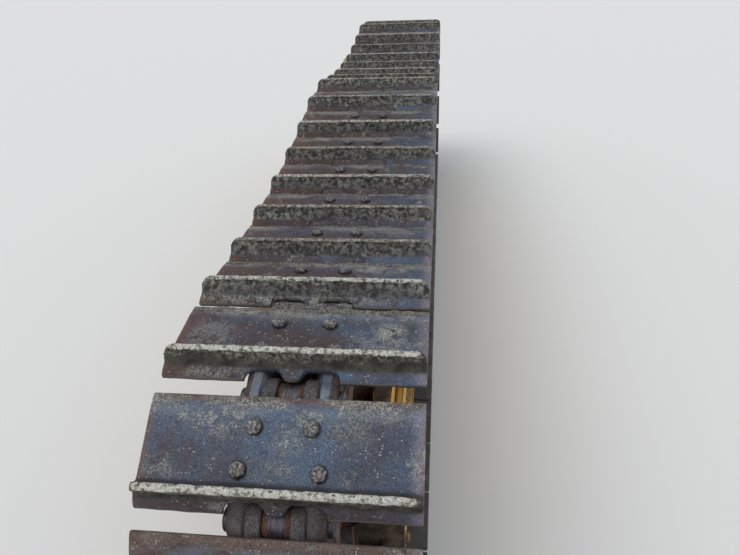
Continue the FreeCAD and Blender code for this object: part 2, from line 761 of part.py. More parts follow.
def track_frame():
    """Welded channel with end plates, bottom flanges, fork rails, ribs and the final drive arm."""
    shell = end_prism(frame_section(0.0, FRAME_BOTTOM), FRAME_REAR, FRAME_FRONT)
    hollow = end_prism(frame_section(FRAME_PLATE, FRAME_BOTTOM - OVERCUT),
                       FRAME_REAR + FRAME_PLATE, FRAME_FRONT - FRAME_PLATE)
    gland = lengthways(GLAND_RADIUS, FRAME_FRONT, FRAME_FRONT + GLAND_THICKNESS, 0, IDLER_Z)
    opening = lengthways(ROD_RADIUS + SEAT_CLEARANCE, FRAME_FRONT - FRAME_PLATE - OVERCUT,
                         FRAME_FRONT + GLAND_THICKNESS + OVERCUT, 0, IDLER_Z)
    pieces = [shell.cut(hollow).fuse(gland).cut(opening), drive_arm()]
    for side in (OUTER, INNER):
        pieces.append(block(FRAME_REAR, FRAME_FRONT, side * (FRAME_HALF - FLANGE_INBOARD),
                            side * (FRAME_HALF + FLANGE_OUTBOARD), FRAME_BOTTOM, FRAME_BOTTOM + FLANGE_THICKNESS))
        pieces.append(fork_rail(side))
    return joined(pieces + wall_gussets())


def recoil_cover():
    """Arched cover over the spring and adjuster, on the channel's roof."""
    front = FRAME_FRONT - RECOIL_BEHIND_FRONT
    rim_top = FRAME_TOP + RECOIL_RIM_THICKNESS
    arch = RECOIL_HALF - RECOIL_RIM
    section = [
        (-RECOIL_HALF, FRAME_TOP),
        (RECOIL_HALF, FRAME_TOP),
        (RECOIL_HALF, rim_top),
        (arch, rim_top),
        (-arch, rim_top, 0.0, FRAME_TOP + RECOIL_CROWN),
        (-RECOIL_HALF, rim_top),
    ]
    return end_prism(section, front - RECOIL_LENGTH, front)


# Bottom rollers

def roller_places():
    first = IDLER_X - ROLLER_FROM_IDLER
    last = SPROCKET_X + ROLLER_FROM_SPROCKET
    step = (last - first) / (ROLLER_COUNT - 1)
    return [first + step * i for i in range(ROLLER_COUNT)]


def bottom_roller(x, inner_flanges):
    """Roller with outer flanges, and on every other one a flange between the rails too."""
    flange = ROLLER_HALF - ROLLER_FLANGE_WIDTH
    inside = LINK_INNER - ROLLER_INSIDE
    recess = ROLLER_HALF - ROLLER_END_RECESS
    middle_radius = ROLLER_INNER_FLANGE if inner_flanges else ROLLER_WAIST
    half = [
        (recess, ROLLER_SHAFT_RADIUS + SEAT_CLEARANCE),
        (recess, ROLLER_END_RADIUS),
        (ROLLER_HALF, ROLLER_END_RADIUS + ROLLER_END_RECESS),
        (ROLLER_HALF, ROLLER_FLANGE),
        (flange, ROLLER_FLANGE),
        (flange - ROLLER_FLANGE_SLOPE, ROLLER_TREAD),
        (inside, ROLLER_TREAD),
        (inside - ROLLER_FLANGE_SLOPE, middle_radius),
    ]
    if inner_flanges:
        half += [
            (ROLLER_INNER_FLANGE_HALF, middle_radius),
            (ROLLER_INNER_FLANGE_HALF - ROLLER_FLANGE_SLOPE, ROLLER_WAIST),
        ]
    mirror = [(-y, radius) for y, radius in reversed(half)]
    return turned(half + mirror, x, ROLLER_Z)


def roller_mount(x):
    """Fixed shaft with a round-bottomed collar at each end, bolted up under the frame's flanges."""
    outer = FRAME_HALF - COLLAR_EDGE
    outline = [
        (x + COLLAR_HALF, FRAME_BOTTOM),
        (x + COLLAR_HALF, FRAME_BOTTOM - COLLAR_FOOT),
        (x + COLLAR_RADIUS, ROLLER_Z),
        (x - COLLAR_RADIUS, ROLLER_Z, x, ROLLER_Z - COLLAR_RADIUS),
        (x - COLLAR_HALF, FRAME_BOTTOM - COLLAR_FOOT),
        (x - COLLAR_HALF, FRAME_BOTTOM),
    ]
    pieces = [rod(ROLLER_SHAFT_RADIUS, -COLLAR_INNER - COLLAR_EDGE, COLLAR_INNER + COLLAR_EDGE, x, ROLLER_Z)]
    for side in (OUTER, INNER):
        pieces.append(side_prism(outline, side * COLLAR_INNER, side * outer))
    return joined(pieces)


def chain_guard(x):
    """Pair of plates that keep the lower chain on its rollers."""
    half = 0.5 * GUARD_LENGTH
    outer = COLLAR_INNER + GUARD_THICKNESS
    wall = [
        (x - half, FRAME_BOTTOM),
        (x - half, GUARD_BOTTOM + GUARD_CORNER),
        (x - half + GUARD_CORNER, GUARD_BOTTOM),
        (x + half - GUARD_CORNER, GUARD_BOTTOM),
        (x + half, GUARD_BOTTOM + GUARD_CORNER),
        (x + half, FRAME_BOTTOM),
    ]
    plates = []
    for side in (OUTER, INNER):
        foot = block(x - half, x + half, side * COLLAR_INNER, side * (FRAME_HALF - COLLAR_EDGE),
                     FRAME_BOTTOM - GUARD_THICKNESS, FRAME_BOTTOM)
        plates.append(joined([side_prism(wall, side * COLLAR_INNER, side * outer), foot]))
    return Part.makeCompound(plates)


# Carrier roller

def carrier_roller():
    """Roller under the upper chain, with a groove in the middle and a cap on its outer end."""
    bore = CARRIER_SHAFT_RADIUS + SEAT_CLEARANCE
    half = LINK_OUTER + ROLLER_RAIL_GAP
    flange = half + ROLLER_FLANGE_SLOPE
    end = flange + CARRIER_FLANGE_WIDTH
    floor = CARRIER_TREAD - CARRIER_GROOVE
    profile = [
        (-half, CARRIER_TREAD),
        (-CARRIER_GROOVE_HALF, CARRIER_TREAD),
        (-CARRIER_GROOVE_FLOOR, floor),
        (CARRIER_GROOVE_FLOOR, floor),
        (CARRIER_GROOVE_HALF, CARRIER_TREAD),
        (half, CARRIER_TREAD),
        (flange, CARRIER_FLANGE),
        (end, CARRIER_FLANGE),
        (end, CARRIER_CAP_RADIUS),
        (end + CARRIER_CAP, CARRIER_CAP_RADIUS - CARRIER_CAP),
        (end + CARRIER_CAP, 0.0),
        (end, 0.0),
        (end, bore),
        (-end, bore),
        (-end, CARRIER_FLANGE),
        (-flange, CARRIER_FLANGE),
    ]
    return turned(profile, CARRIER_X, CARRIER_Z)


def carrier_bracket():
    """Foot on the frame's inboard wall, cranked post and split clamp, with the roller's shaft."""
    wall = -FRAME_HALF
    half_post = 0.5 * POST_LENGTH
    half_foot = 0.5 * FOOT_LENGTH
    over_roof = FRAME_TOP + POST_OVER_ROOF
    post = end_prism(
        [
            (wall - POST_PLATE, FRAME_SHOULDER - FOOT_CORNER),
            (wall, FRAME_SHOULDER - FOOT_CORNER),
            (wall, over_roof),
            (-CLAMP_OUTER, over_roof + POST_LEAN),
            (-CLAMP_OUTER, CARRIER_Z),
            (-CLAMP_INNER, CARRIER_Z),
            (-CLAMP_INNER, over_roof + POST_LEAN),
            (wall - POST_PLATE, over_roof),
        ],
        CARRIER_X - half_post, CARRIER_X + half_post,
    )
    foot = side_prism(
        [
            (CARRIER_X - half_foot + FOOT_CORNER, FOOT_BOTTOM),
            (CARRIER_X + half_foot - FOOT_CORNER, FOOT_BOTTOM),
            (CARRIER_X + half_foot, FOOT_BOTTOM + FOOT_CORNER),
            (CARRIER_X + half_foot, FRAME_SHOULDER - FOOT_CORNER),
            (CARRIER_X + half_post, FRAME_SHOULDER),
            (CARRIER_X - half_post, FRAME_SHOULDER),
            (CARRIER_X - half_foot, FRAME_SHOULDER - FOOT_CORNER),
            (CARRIER_X - half_foot, FOOT_BOTTOM + FOOT_CORNER),
        ],
        wall - POST_PLATE, wall,
    )
    ear_half = EAR_THICKNESS + 0.5 * CLAMP_SLIT
    ears = block(CARRIER_X - ear_half, CARRIER_X + ear_half, -CLAMP_INNER, -CLAMP_OUTER,
                 CARRIER_Z, CARRIER_Z + CLAMP_RADIUS + EAR_HEIGHT)
    ring = rod(CLAMP_RADIUS, -CLAMP_INNER, -CLAMP_OUTER, CARRIER_X, CARRIER_Z)
    slit = block(CARRIER_X - 0.5 * CLAMP_SLIT, CARRIER_X + 0.5 * CLAMP_SLIT,
                 -CLAMP_INNER - OVERCUT, -CLAMP_OUTER + OVERCUT,
                 CARRIER_Z, CARRIER_Z + CLAMP_RADIUS + EAR_HEIGHT + OVERCUT)
    clamp = ring.fuse(ears).cut(slit)
    half_roller = LINK_OUTER + ROLLER_RAIL_GAP + ROLLER_FLANGE_SLOPE + CARRIER_FLANGE_WIDTH
    shaft = rod(CARRIER_SHAFT_RADIUS, -CLAMP_INNER, half_roller - SEAT_CLEARANCE, CARRIER_X, CARRIER_Z)
    return joined([foot, post, clamp, shaft])


# Sprocket and final drive

def sprocket_phase():
    """Angle of a bushing that lies on the sprocket, from straight up."""
    seated = max(PINS, key=lambda pin: -pin[0])
    return math.atan2(seated[0] - SPROCKET_X, seated[1] - SPROCKET_Z)


def polar(radius, angle):
    """Point about the sprocket's axis, at an angle from straight up."""
    return circle_point((SPROCKET_X, SPROCKET_Z, radius), angle)


def tooth_ring():
    """Ring whose tooth spaces hold the bushings."""
    step = 2.0 * math.pi / SPROCKET_TEETH
    seat = BUSHING_RADIUS + SEAT_CLEARANCE
    tip_radius = SPROCKET_PIN_RADIUS + TOOTH_RISE
    tip_half = 0.5 * TOOTH_TIP / tip_radius
    flank = math.asin(seat / SPROCKET_PIN_RADIUS)
    outline = []
    for i in range(SPROCKET_TEETH):
        space = sprocket_phase() + step * i
        outline.append(polar(tip_radius, space - 0.5 * step + tip_half))
        outline.append(polar(SPROCKET_PIN_RADIUS, space - flank))
        outline.append(polar(SPROCKET_PIN_RADIUS, space + flank) + polar(SPROCKET_PIN_RADIUS - seat, space))
        outline.append(polar(tip_radius, space + 0.5 * step - tip_half))
    ring = side_prism(outline, -SPROCKET_HALF, SPROCKET_HALF)
    return ring.cut(rod(SEGMENT_INNER, -SPROCKET_HALF - OVERCUT, SPROCKET_HALF + OVERCUT, SPROCKET_X, SPROCKET_Z))


def sprocket_segments():
    """Toothed ring parted into bolted segments."""
    cuts = []
    step = 2.0 * math.pi / SPROCKET_TEETH
    for i in range(SEGMENT_COUNT):
        angle = sprocket_phase() + step * (0.5 + i * SPROCKET_TEETH / SEGMENT_COUNT)
        slot = block(SPROCKET_X - 0.5 * SEGMENT_GAP, SPROCKET_X + 0.5 * SEGMENT_GAP,
                     -SPROCKET_HALF - OVERCUT, SPROCKET_HALF + OVERCUT,
                     SPROCKET_Z + 0.5 * SEGMENT_INNER, SPROCKET_Z + SPROCKET_PIN_RADIUS + 2.0 * TOOTH_RISE)
        slot.rotate(vec(SPROCKET_X, 0, SPROCKET_Z), vec(0, 1, 0), math.degrees(angle))
        cuts.append(slot)
    return tooth_ring().cut(cuts)


def sprocket_hub():
    """Dished and ribbed hub whose flange carries the segments."""
    face = -SPROCKET_HALF
    back = face - HUB_FLANGE_THICKNESS
    pilot = SEGMENT_INNER - HUB_PILOT_STEP
    cone_foot = HUB_BARREL_RADIUS + HUB_CONE
    profile = [
        (face, HUB_FLANGE_RADIUS),
        (face, SEGMENT_INNER - SEAT_CLEARANCE),
        (face + HUB_PILOT_STEP, pilot),
        (HUB_FACE, cone_foot),
        (HUB_FACE, HUB_BORE),
        (-HUB_BACK, HUB_BORE),
        (-HUB_BACK, HUB_BARREL_RADIUS),
        (back - HUB_CONE, cone_foot),
        (back, pilot),
        (back, HUB_FLANGE_RADIUS),
    ]
    rib = [
        (face, pilot - HUB_RIB_INSET),
        (face + HUB_PILOT_STEP + HUB_RIB_RISE, pilot - HUB_RIB_INSET),
        (HUB_FACE - HUB_RIB_SHORT, cone_foot + HUB_RIB_RISE),
        (HUB_FACE - HUB_RIB_SHORT, HUB_BARREL_RADIUS),
        (face, HUB_BARREL_RADIUS),
    ]
    ribs = spoke_set(rib, HUB_RIB_THICKNESS, HUB_RIBS, SPROCKET_X, SPROCKET_Z)
    return joined([turned(profile, SPROCKET_X, SPROCKET_Z)] + ribs)


def drive_cover():
    """Domed outer cover with a bolted rim and a boss in its middle."""
    bend = 0.5 * (COVER_DOME_RADIUS - COVER_FACE_RADIUS)
    profile = [
        (HUB_FACE, 0.0),
        (HUB_FACE, HUB_BARREL_RADIUS),
        (HUB_FACE + COVER_RIM, HUB_BARREL_RADIUS),
        (HUB_FACE + COVER_RIM, COVER_SHOULDER_RADIUS),
        (COVER_DOME_START, COVER_DOME_RADIUS),
        (COVER_REACH - COVER_BOSS, COVER_FACE_RADIUS, COVER_REACH - 2.0 * COVER_BOSS, COVER_FACE_RADIUS + bend),
        (COVER_REACH - COVER_BOSS, COVER_BOSS_RADIUS),
        (COVER_REACH, COVER_BOSS_RADIUS - COVER_BOSS),
        (COVER_REACH, 0.0),
    ]
    return turned(profile, SPROCKET_X, SPROCKET_Z)


def drive_housing():
    """Ribbed inboard housing with a shoulder on the frame's arm and the machine flange."""
    nose = -HUB_BACK
    shoulder = -FRAME_HALF
    flange = -MOUNT_REACH + DRIVE_FLANGE
    profile = [
        (nose, 0.0),
        (nose, DRIVE_NOSE_RADIUS),
        (nose - DRIVE_NOSE, DRIVE_RADIUS - DRIVE_NOSE),
        (shoulder + DRIVE_SHOULDER, DRIVE_RADIUS - DRIVE_TAPER),
        (shoulder + DRIVE_SHOULDER, DRIVE_SHOULDER_RADIUS),
        (shoulder, DRIVE_SHOULDER_RADIUS),
        (shoulder, DRIVE_RADIUS),
        (flange + DRIVE_SHOULDER, DRIVE_RADIUS - DRIVE_TAPER),
        (flange, DRIVE_RADIUS),
        (flange, DRIVE_FLANGE_RADIUS),
        (-MOUNT_REACH, DRIVE_FLANGE_RADIUS),
        (-MOUNT_REACH, 0.0),
    ]
    arm_face = shoulder - ARM_THICKNESS - SEAT_CLEARANCE
    rib = [
        (arm_face, DRIVE_RADIUS - 2.0 * DRIVE_TAPER),
        (arm_face, DRIVE_RADIUS + DRIVE_TAPER),
        (flange, DRIVE_FLANGE_RADIUS - DRIVE_TAPER),
        (flange, DRIVE_RADIUS - 2.0 * DRIVE_TAPER),
    ]
    holes = []
    for i in range(DRIVE_BOLTS):
        x, z = polar(DRIVE_BOLT_RADIUS, 2.0 * math.pi * (i + 0.5) / DRIVE_BOLTS)
        holes.append(rod(DRIVE_BOLT_HOLE, -MOUNT_REACH - OVERCUT, flange + OVERCUT, x, z))
    ribs = spoke_set(rib, DRIVE_RIB_THICKNESS, DRIVE_RIBS, SPROCKET_X, SPROCKET_Z)
    return joined([turned(profile, SPROCKET_X, SPROCKET_Z)] + ribs).cut(holes)


# Brackets to the machine

def mount_bracket(x):
    """Bolting plate held off the frame's inboard wall by two webs and a shelf."""
    low, high = MOUNT_MIDDLE - 0.5 * MOUNT_HEIGHT, MOUNT_MIDDLE + 0.5 * MOUNT_HEIGHT
    half = 0.5 * MOUNT_LENGTH
    face = -MOUNT_REACH
    back = face + MOUNT_PLATE
    outline = [
        (x - half, low + MOUNT_CORNER),
        (x - half + MOUNT_CORNER, low),
        (x + half - MOUNT_CORNER, low),
        (x + half, low + MOUNT_CORNER),
        (x + half, high - MOUNT_CORNER),
        (x + half - MOUNT_CORNER, high),
        (x - half + MOUNT_CORNER, high),
        (x - half, high - MOUNT_CORNER),
    ]
    holes = []
    for x_side in (-0.5, 0.5):
        for z_side in (-0.5, 0.5):
            holes.append(rod(MOUNT_BOLT_HOLE, face - OVERCUT, back + OVERCUT,
                             x + x_side * MOUNT_BOLT_X, MOUNT_MIDDLE + z_side * MOUNT_BOLT_Z))
    pieces = [side_prism(outline, face, back).cut(holes)]
    web = [
        (back, low + MOUNT_WEB_EDGE),
        (-FRAME_HALF, FRAME_BOTTOM + FLANGE_THICKNESS + MOUNT_WEB_EDGE),
        (-FRAME_HALF, FRAME_SHOULDER),
        (back, high - MOUNT_WEB_EDGE),
    ]
    for middle in (x - MOUNT_WEB_HALF, x + MOUNT_WEB_HALF):
        pieces.append(end_prism(web, middle - 0.5 * MOUNT_WEB, middle + 0.5 * MOUNT_WEB))
    pieces.append(block(x - MOUNT_WEB_HALF, x + MOUNT_WEB_HALF, back, -FRAME_HALF,
                        MOUNT_MIDDLE - 0.5 * MOUNT_WEB, MOUNT_MIDDLE + 0.5 * MOUNT_WEB))
    return joined(pieces)


# The whole unit

def footprint_middle():
    """Middle of the footprint box, from the shoe tips and from the mounting faces."""
    reach = [x for link in LINKS for x, z in on_link(link, shoe_outline())]
    return 0.5 * (min(reach) + max(reach)), 0.5 * (0.5 * SHOE_WIDTH - MOUNT_REACH)


def nodes():
    """Every piece by name."""
    parts = {
        "track": track(),
        "idler_wheel": idler_wheel(),
        "idler_shaft": idler_shaft(),
        "idler_block_outer": idler_block(OUTER),
        "idler_block_inner": idler_block(INNER),
        "idler_yoke": idler_yoke(),
        "recoil_rod": recoil_rod(),
        "track_frame": track_frame(),
        "recoil_cover": recoil_cover(),
        "carrier_roller": carrier_roller(),
        "carrier_bracket": carrier_bracket(),
        "sprocket_segments": sprocket_segments(),
        "sprocket_hub": sprocket_hub(),
        "drive_cover": drive_cover(),
        "drive_housing": drive_housing(),
        "front_mount": mount_bracket(IDLER_X - FRONT_MOUNT_BEHIND_IDLER),
        "rear_mount": mount_bracket(SPROCKET_X + REAR_MOUNT_AHEAD_OF_SPROCKET),
    }
    places = roller_places()
    for i, x in enumerate(places):
        parts["bottom_roller_%d" % (i + 1)] = bottom_roller(x, i % 2 == 1)
        parts["roller_mount_%d" % (i + 1)] = roller_mount(x)
    gaps = [("front", places[0], places[1]), ("middle", places[2], places[3]), ("rear", places[4], places[5])]
    for name, a, b in gaps:
        parts["chain_guard_%s" % name] = chain_guard(0.5 * (a + b))
    return parts


def main():
    os.makedirs("parts", exist_ok=True)
    middle_x, middle_y = footprint_middle()
    for name, shape in nodes().items():
        shape.translate(vec(-middle_x, -middle_y, 0))
        shape.exportStep(os.path.join("parts", name + ".step"))
        box = shape.BoundBox
        print("%-20s %d solid(s) valid %s x %.1f..%.1f y %.1f..%.1f z %.1f..%.1f volume %.5f m3" % (
            name, len(shape.Solids), shape.isValid(), box.XMin, box.XMax, box.YMin, box.YMax,
            box.ZMin, box.ZMax, shape.Volume * 1e-9))
    print("idler axis x %.3f z %.3f" % (IDLER_X - middle_x, IDLER_Z))
    print("sprocket axis x %.3f z %.3f" % (SPROCKET_X - middle_x, SPROCKET_Z))
    print("track middle y %.3f" % -middle_y)


main()
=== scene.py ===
import bmesh
import bpy
import json
import math
import numpy as np
from mathutils import Matrix, Vector, noise


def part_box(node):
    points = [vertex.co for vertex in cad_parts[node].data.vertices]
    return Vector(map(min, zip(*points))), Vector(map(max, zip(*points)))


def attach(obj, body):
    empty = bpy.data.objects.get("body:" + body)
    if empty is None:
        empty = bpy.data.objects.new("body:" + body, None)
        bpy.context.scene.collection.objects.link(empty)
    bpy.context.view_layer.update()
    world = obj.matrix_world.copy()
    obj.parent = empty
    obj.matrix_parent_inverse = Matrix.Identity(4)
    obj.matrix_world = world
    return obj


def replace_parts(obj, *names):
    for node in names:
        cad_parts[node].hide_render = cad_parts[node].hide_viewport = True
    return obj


# Looks of a bulldozer's crawler track unit. Lengths are millimetres of the row
# frame in the code, and metres in the meshes. Places on a shoe or a link are
# (s, y, n): along it from its rear pin, across the track from the track's
# middle, and out from the pin line.
MM = 0.001

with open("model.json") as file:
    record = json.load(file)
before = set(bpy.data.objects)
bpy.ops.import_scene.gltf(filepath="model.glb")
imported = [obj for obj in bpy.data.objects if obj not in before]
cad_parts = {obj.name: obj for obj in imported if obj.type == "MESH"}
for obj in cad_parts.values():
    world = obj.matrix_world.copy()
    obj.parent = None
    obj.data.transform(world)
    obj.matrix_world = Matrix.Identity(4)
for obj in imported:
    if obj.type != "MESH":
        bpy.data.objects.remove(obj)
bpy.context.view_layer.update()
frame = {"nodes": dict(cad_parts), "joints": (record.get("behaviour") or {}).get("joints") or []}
IDLER_X = frame["joints"][0]["pos_m"][0] / MM
TRACK_Y = frame["joints"][0]["pos_m"][1] / MM

# Track chain, as in the part's source
PITCH = 171.45
LINK_COUNT = 42
RAIL_HEIGHT = 50.0
SHOE_HALF = 203.2
IDLER_PITCHES = 12
SPROCKET_TEETH = 25
GROUND_PIN_HEIGHT = 81.0
WHEEL_SPREAD = 2544.916
CARRIER_BEHIND_IDLER = 1205.0
CARRIER_PIN_RISE = 52.0
CARRIER_PIN_RADIUS = 130.0
FRONT_SAG = 46.0
REAR_SAG = 56.0
FIRST_PIN_BEHIND_IDLER = 58.0
IDLER_PIN_RADIUS = PITCH / (2.0 * math.sin(math.pi / IDLER_PITCHES))
SPROCKET_PIN_RADIUS = PITCH / (2.0 * math.sin(2.0 * math.pi / SPROCKET_TEETH))
IDLER_Z = GROUND_PIN_HEIGHT + IDLER_PIN_RADIUS
SPROCKET_X = IDLER_X - WHEEL_SPREAD
SPROCKET_Z = GROUND_PIN_HEIGHT + SPROCKET_PIN_RADIUS

# Shoe
PLATE_TOP = 47.3
TIP_LIMIT = 80.9            # highest point over the pin line
CREST = 79.0
GROUSER_FOOT = 68.0         # where the mud on the crest begins
GROUSER_ROUND = 22.0        # radius of the tip's two ends
LIP_ROOT = 147.6
LIP_FULL = 167.7
LIP_NOTCH = 151.0
NOTCH_OUTER = 74.0          # from the track's middle
NOTCH_ROUND = 16.0
TONGUE_HALF = 24.0
TONGUE_FLAT = 8.0
TONGUE_LENGTH = 15.0
BOLT_ROWS = ((48.6, 42.0), (109.2, 58.0))
BOLT_WIDTH = 21.5
BOLT_HEIGHT = 9.0
BOLT_SUNK = 0.3

# Link
LINK_TOP = 37.6
EYE_RADIUS = 34.0
PIN_END_OUT = 71.0          # from the track's middle

# Stations across the track at which the shoes, their mud and the packed dirt have a ring of points
HALF_STATIONS = [
    203.2, 202.4, 200.6, 198.0, 194.5, 190.0, 184.0, 176.0, 166.0, 156.0, 146.0, 136.0, 126.0, 116.0,
    106.0, 97.0, 89.0, 82.0, 77.0, 74.0, 73.5, 72.3, 70.2, 67.0, 63.0, 58.0, 50.0, 41.0, 32.0, 24.0,
    20.0, 16.0, 12.0, 8.0,
]
STATIONS = [-y for y in HALF_STATIONS] + [0.0] + HALF_STATIONS[::-1]
CRUST_STATIONS = list(np.linspace(-201.5, 201.5, 105))
PACKED_STATIONS = np.linspace(-71.0, 71.0, 37)
PACKED_HEIGHTS = ((146.0, 150.0, 156.0, 168.0, 175.0, 182.0), (47.0, 48.5, 45.0, 39.5, 42.0, 42.5))
DEEP_HEIGHTS = ((140.0, 170.0), (35.5, 35.5))

# What the shoes that the photo shows closest have of their own, by link; their rust amounts also darken
# shoes in shade, as painted shade
RUST_AND_SHADE_NEAR = {0: 0.46, 1: 0.06, 2: 0.80, 3: 0.4, 41: 0.62}
POLISH_NEAR = {0: 1.0, 1: 0.12, 2: 0.3}
RIM_NEAR = {1: 0.45, 2: 0.3, 3: 0.5}
CAKE_NEAR = {0: 0.95, 1: 1.0, 2: 0.8, 40: 0.50, 41: 0.72}
BOLT_CAKE_NEAR = {0: 0.35, 1: 0.45}
SPLASHES_NEAR = {
    0: ((14, -105, 14, 75, 0.9), (22, 15, 12, 60, 0.7), (60, 142, 26, 30, 1.0), (90, 130, 34, 60, 0.45),
        (80, -150, 40, 45, 0.45), (160, -110, 14, 70, 0.5)),
    1: ((40, -92, 20, 56, 1.0), (15, -45, 11, 60, 0.9), (36, 40, 16, 24, 1.0), (66, 8, 13, 26, 1.0),
        (46, 100, 16, 36, 0.6), (14, 120, 10, 60, 0.5), (112, -5, 14, 40, 0.5), (95, 195, 14, 9, 0.9),
        (112, -175, 14, 30, 0.6), (158, -60, 9, 40, 0.5)),
    2: ((14, 0, 12, 210, 0.2),),
    40: ((18, 20, 14, 90, 0.7), (40, 120, 18, 70, 0.5)),
    41: ((16, 10, 14, 110, 0.8), (36, 110, 20, 60, 0.8), (158, -40, 16, 180, 0.9)),
}
STAINS_NEAR = {
    0: ((88, -20, 38, 125, 0.95), (158, -130, 16, 90, 0.8)),
    1: ((160, 0, 14, 230, 0.9),),
    2: ((50, 0, 120, 270, 1.0),),
    41: ((80, -40, 60, 190, 0.9),),
}
USUAL_STAINS = ((82, -20, 48, 200, 0.9),)
ON_CURVE = (0, 1, 2)        # links round the idler, with open gaps
UPPER_RUN_Z = 600.0         # lowest place of the upper run's pins

# Frame, its walls and flanges and what is bolted to them
FRAME_HALF = 140.0
FLANGE_TOP = 270.0
FRAME_FRONT = IDLER_X - 372.0
FRAME_REAR = SPROCKET_X + 367.0
GLAND_FACE = 916.9
GLAND_BOLTS = 46.0          # radius of the bolt circle
GLAND_RING = 60.0
SEGMENT_JOINT = 181.5       # angle of a joint between two sprocket segments
SEGMENT_BOLTS = 248.0
HUB_FLANGE = 22.0
COVER_RIM = 14.0
COVER_BOLTS = 140.0
CAP_BOLTS = 34.0
CAP_THICKNESS = 8.0
BLOCK_BOLTS_X, BLOCK_BOLTS_Z = (-68.0, 68.0), (-66.0, -14.0)
COVER_INSET_X, COVER_INSET_Y, COVER_PLATE = 12.0, 10.0, 8.0
CARRIER_CAP_BOLTS = 38.0
EAR_BOLT_X, EAR_BOLT_Y, EAR_BOLT_Z = 20.5, -67.1, 722.0
FOOT_BOLTS_X, FOOT_BOLTS_Y, FOOT_BOLTS_Z = 88.0, -109.6, (350.0, 390.0)
GUSSET_HALF, GUSSET_TOP = 6.0, 362.0
WEB_FROM_MIDDLE, WEB_HALF, WEB_TOP = 84.0, 11.0, 430.0
MOUNT_PLATE = 24.0

ORIGIN = (0.0, 0.0, 0.0)
OUTBOARD, INBOARD = (0.0, 1.0, 0.0), (0.0, -1.0, 0.0)
UP, DOWN = (0.0, 0.0, 1.0), (0.0, 0.0, -1.0)


# Path of the chain pins

def circle_point(circle, angle):
    x, z, radius = circle
    return (x + radius * math.sin(angle), z + radius * math.cos(angle))


def hanging_span(rear, front, sag):
    """Parabola that leaves one circle and meets the next with no kink."""
    rear_angle = front_angle = 0.0
    for _ in range(60):
        x0, z0 = circle_point(rear, rear_angle)
        x1, z1 = circle_point(front, front_angle)
        length = x1 - x0
        slope = (z1 - z0) / length
        bend = 4.0 * sag / length
        rear_angle = math.atan(bend - slope)
        front_angle = -math.atan(bend + slope)

    def curve(t):
        return (x0 + length * t, z0 + (z1 - z0) * t - 4.0 * sag * t * (1.0 - t))

    return rear_angle, front_angle, length, curve


def arc_of(circle, start, end):
    def curve(t):
        return circle_point(circle, start + (end - start) * t)

    return abs(end - start) * circle[2], curve


def chain_path():
    """Pieces of the pin line as (length, curve), from under the sprocket onwards."""
    carrier_top = IDLER_Z + IDLER_PIN_RADIUS + CARRIER_PIN_RISE
    carrier = (IDLER_X - CARRIER_BEHIND_IDLER, carrier_top - CARRIER_PIN_RADIUS, CARRIER_PIN_RADIUS)
    sprocket = (SPROCKET_X, SPROCKET_Z, SPROCKET_PIN_RADIUS)
    idler = (IDLER_X, IDLER_Z, IDLER_PIN_RADIUS)
    leave_sprocket, meet_carrier, rear_length, rear_curve = hanging_span(sprocket, carrier, REAR_SAG)
    leave_carrier, meet_idler, front_length, front_curve = hanging_span(carrier, idler, FRONT_SAG)

    def lower_run(t):
        return (IDLER_X + (SPROCKET_X - IDLER_X) * t, GROUND_PIN_HEIGHT)

    return [
        arc_of(sprocket, -math.pi, leave_sprocket),
        (rear_length, rear_curve),
        arc_of(carrier, meet_carrier, leave_carrier),
        (front_length, front_curve),
        arc_of(idler, meet_idler, math.pi),
        (IDLER_X - SPROCKET_X, lower_run),
    ]


def path_point(path, travel):
    travel = travel % sum(length for length, curve in path)
    for length, curve in path:
        if travel <= length:
            return curve(travel / length)
        travel -= length
    return path[-1][1](1.0)


def halved(low, high, rounds, is_before):
    """Distance along the path between low and high at which is_before turns false."""
    for _ in range(rounds):
        middle = 0.5 * (low + high)
        if is_before(middle):
            low = middle
        else:
            high = middle
    return low


def next_pin(path, travel):
    """Distance along the path of the pin one pitch further on."""
    x0, z0 = path_point(path, travel)

    def is_before(further):
        x1, z1 = path_point(path, further)
        return math.hypot(x1 - x0, z1 - z0) < PITCH

    return halved(travel + 0.8 * PITCH, travel + 1.2 * PITCH, 50, is_before)


def first_pin(path, x):
    """Distance along the path of the upper run's point at x."""
    end = sum(length for length, curve in path[:4]) + 0.25 * math.pi * IDLER_PIN_RADIUS
    return halved(path[0][0], end, 60, lambda further: path_point(path, further)[0] < x)


def chain_links():
    """The links in order as (rear pin, front pin); the first lies behind the idler's top."""
    path = chain_path()
    travel = first_pin(path, IDLER_X - FIRST_PIN_BEHIND_IDLER)
    pins = []
    for _ in range(LINK_COUNT):
        pins.append(path_point(path, travel))
        travel = next_pin(path, travel)
    return list(zip(pins, pins[1:] + pins[:1]))


# Meshes

def smooth(value, low, high):
    """0 at low and 1 at high, with a soft turn at both ends."""
    t = np.clip((value - low) / (high - low), 0.0, 1.0)
    return t * t * (3.0 - 2.0 * t)


def wander(seed, *place):
    """Smooth noise from -1 to 1 at a place in millimetres over the size of its swells."""
    return noise.noise(Vector(place) + Vector((17.3 * seed, 5.1 * seed, 9.7 * seed)))


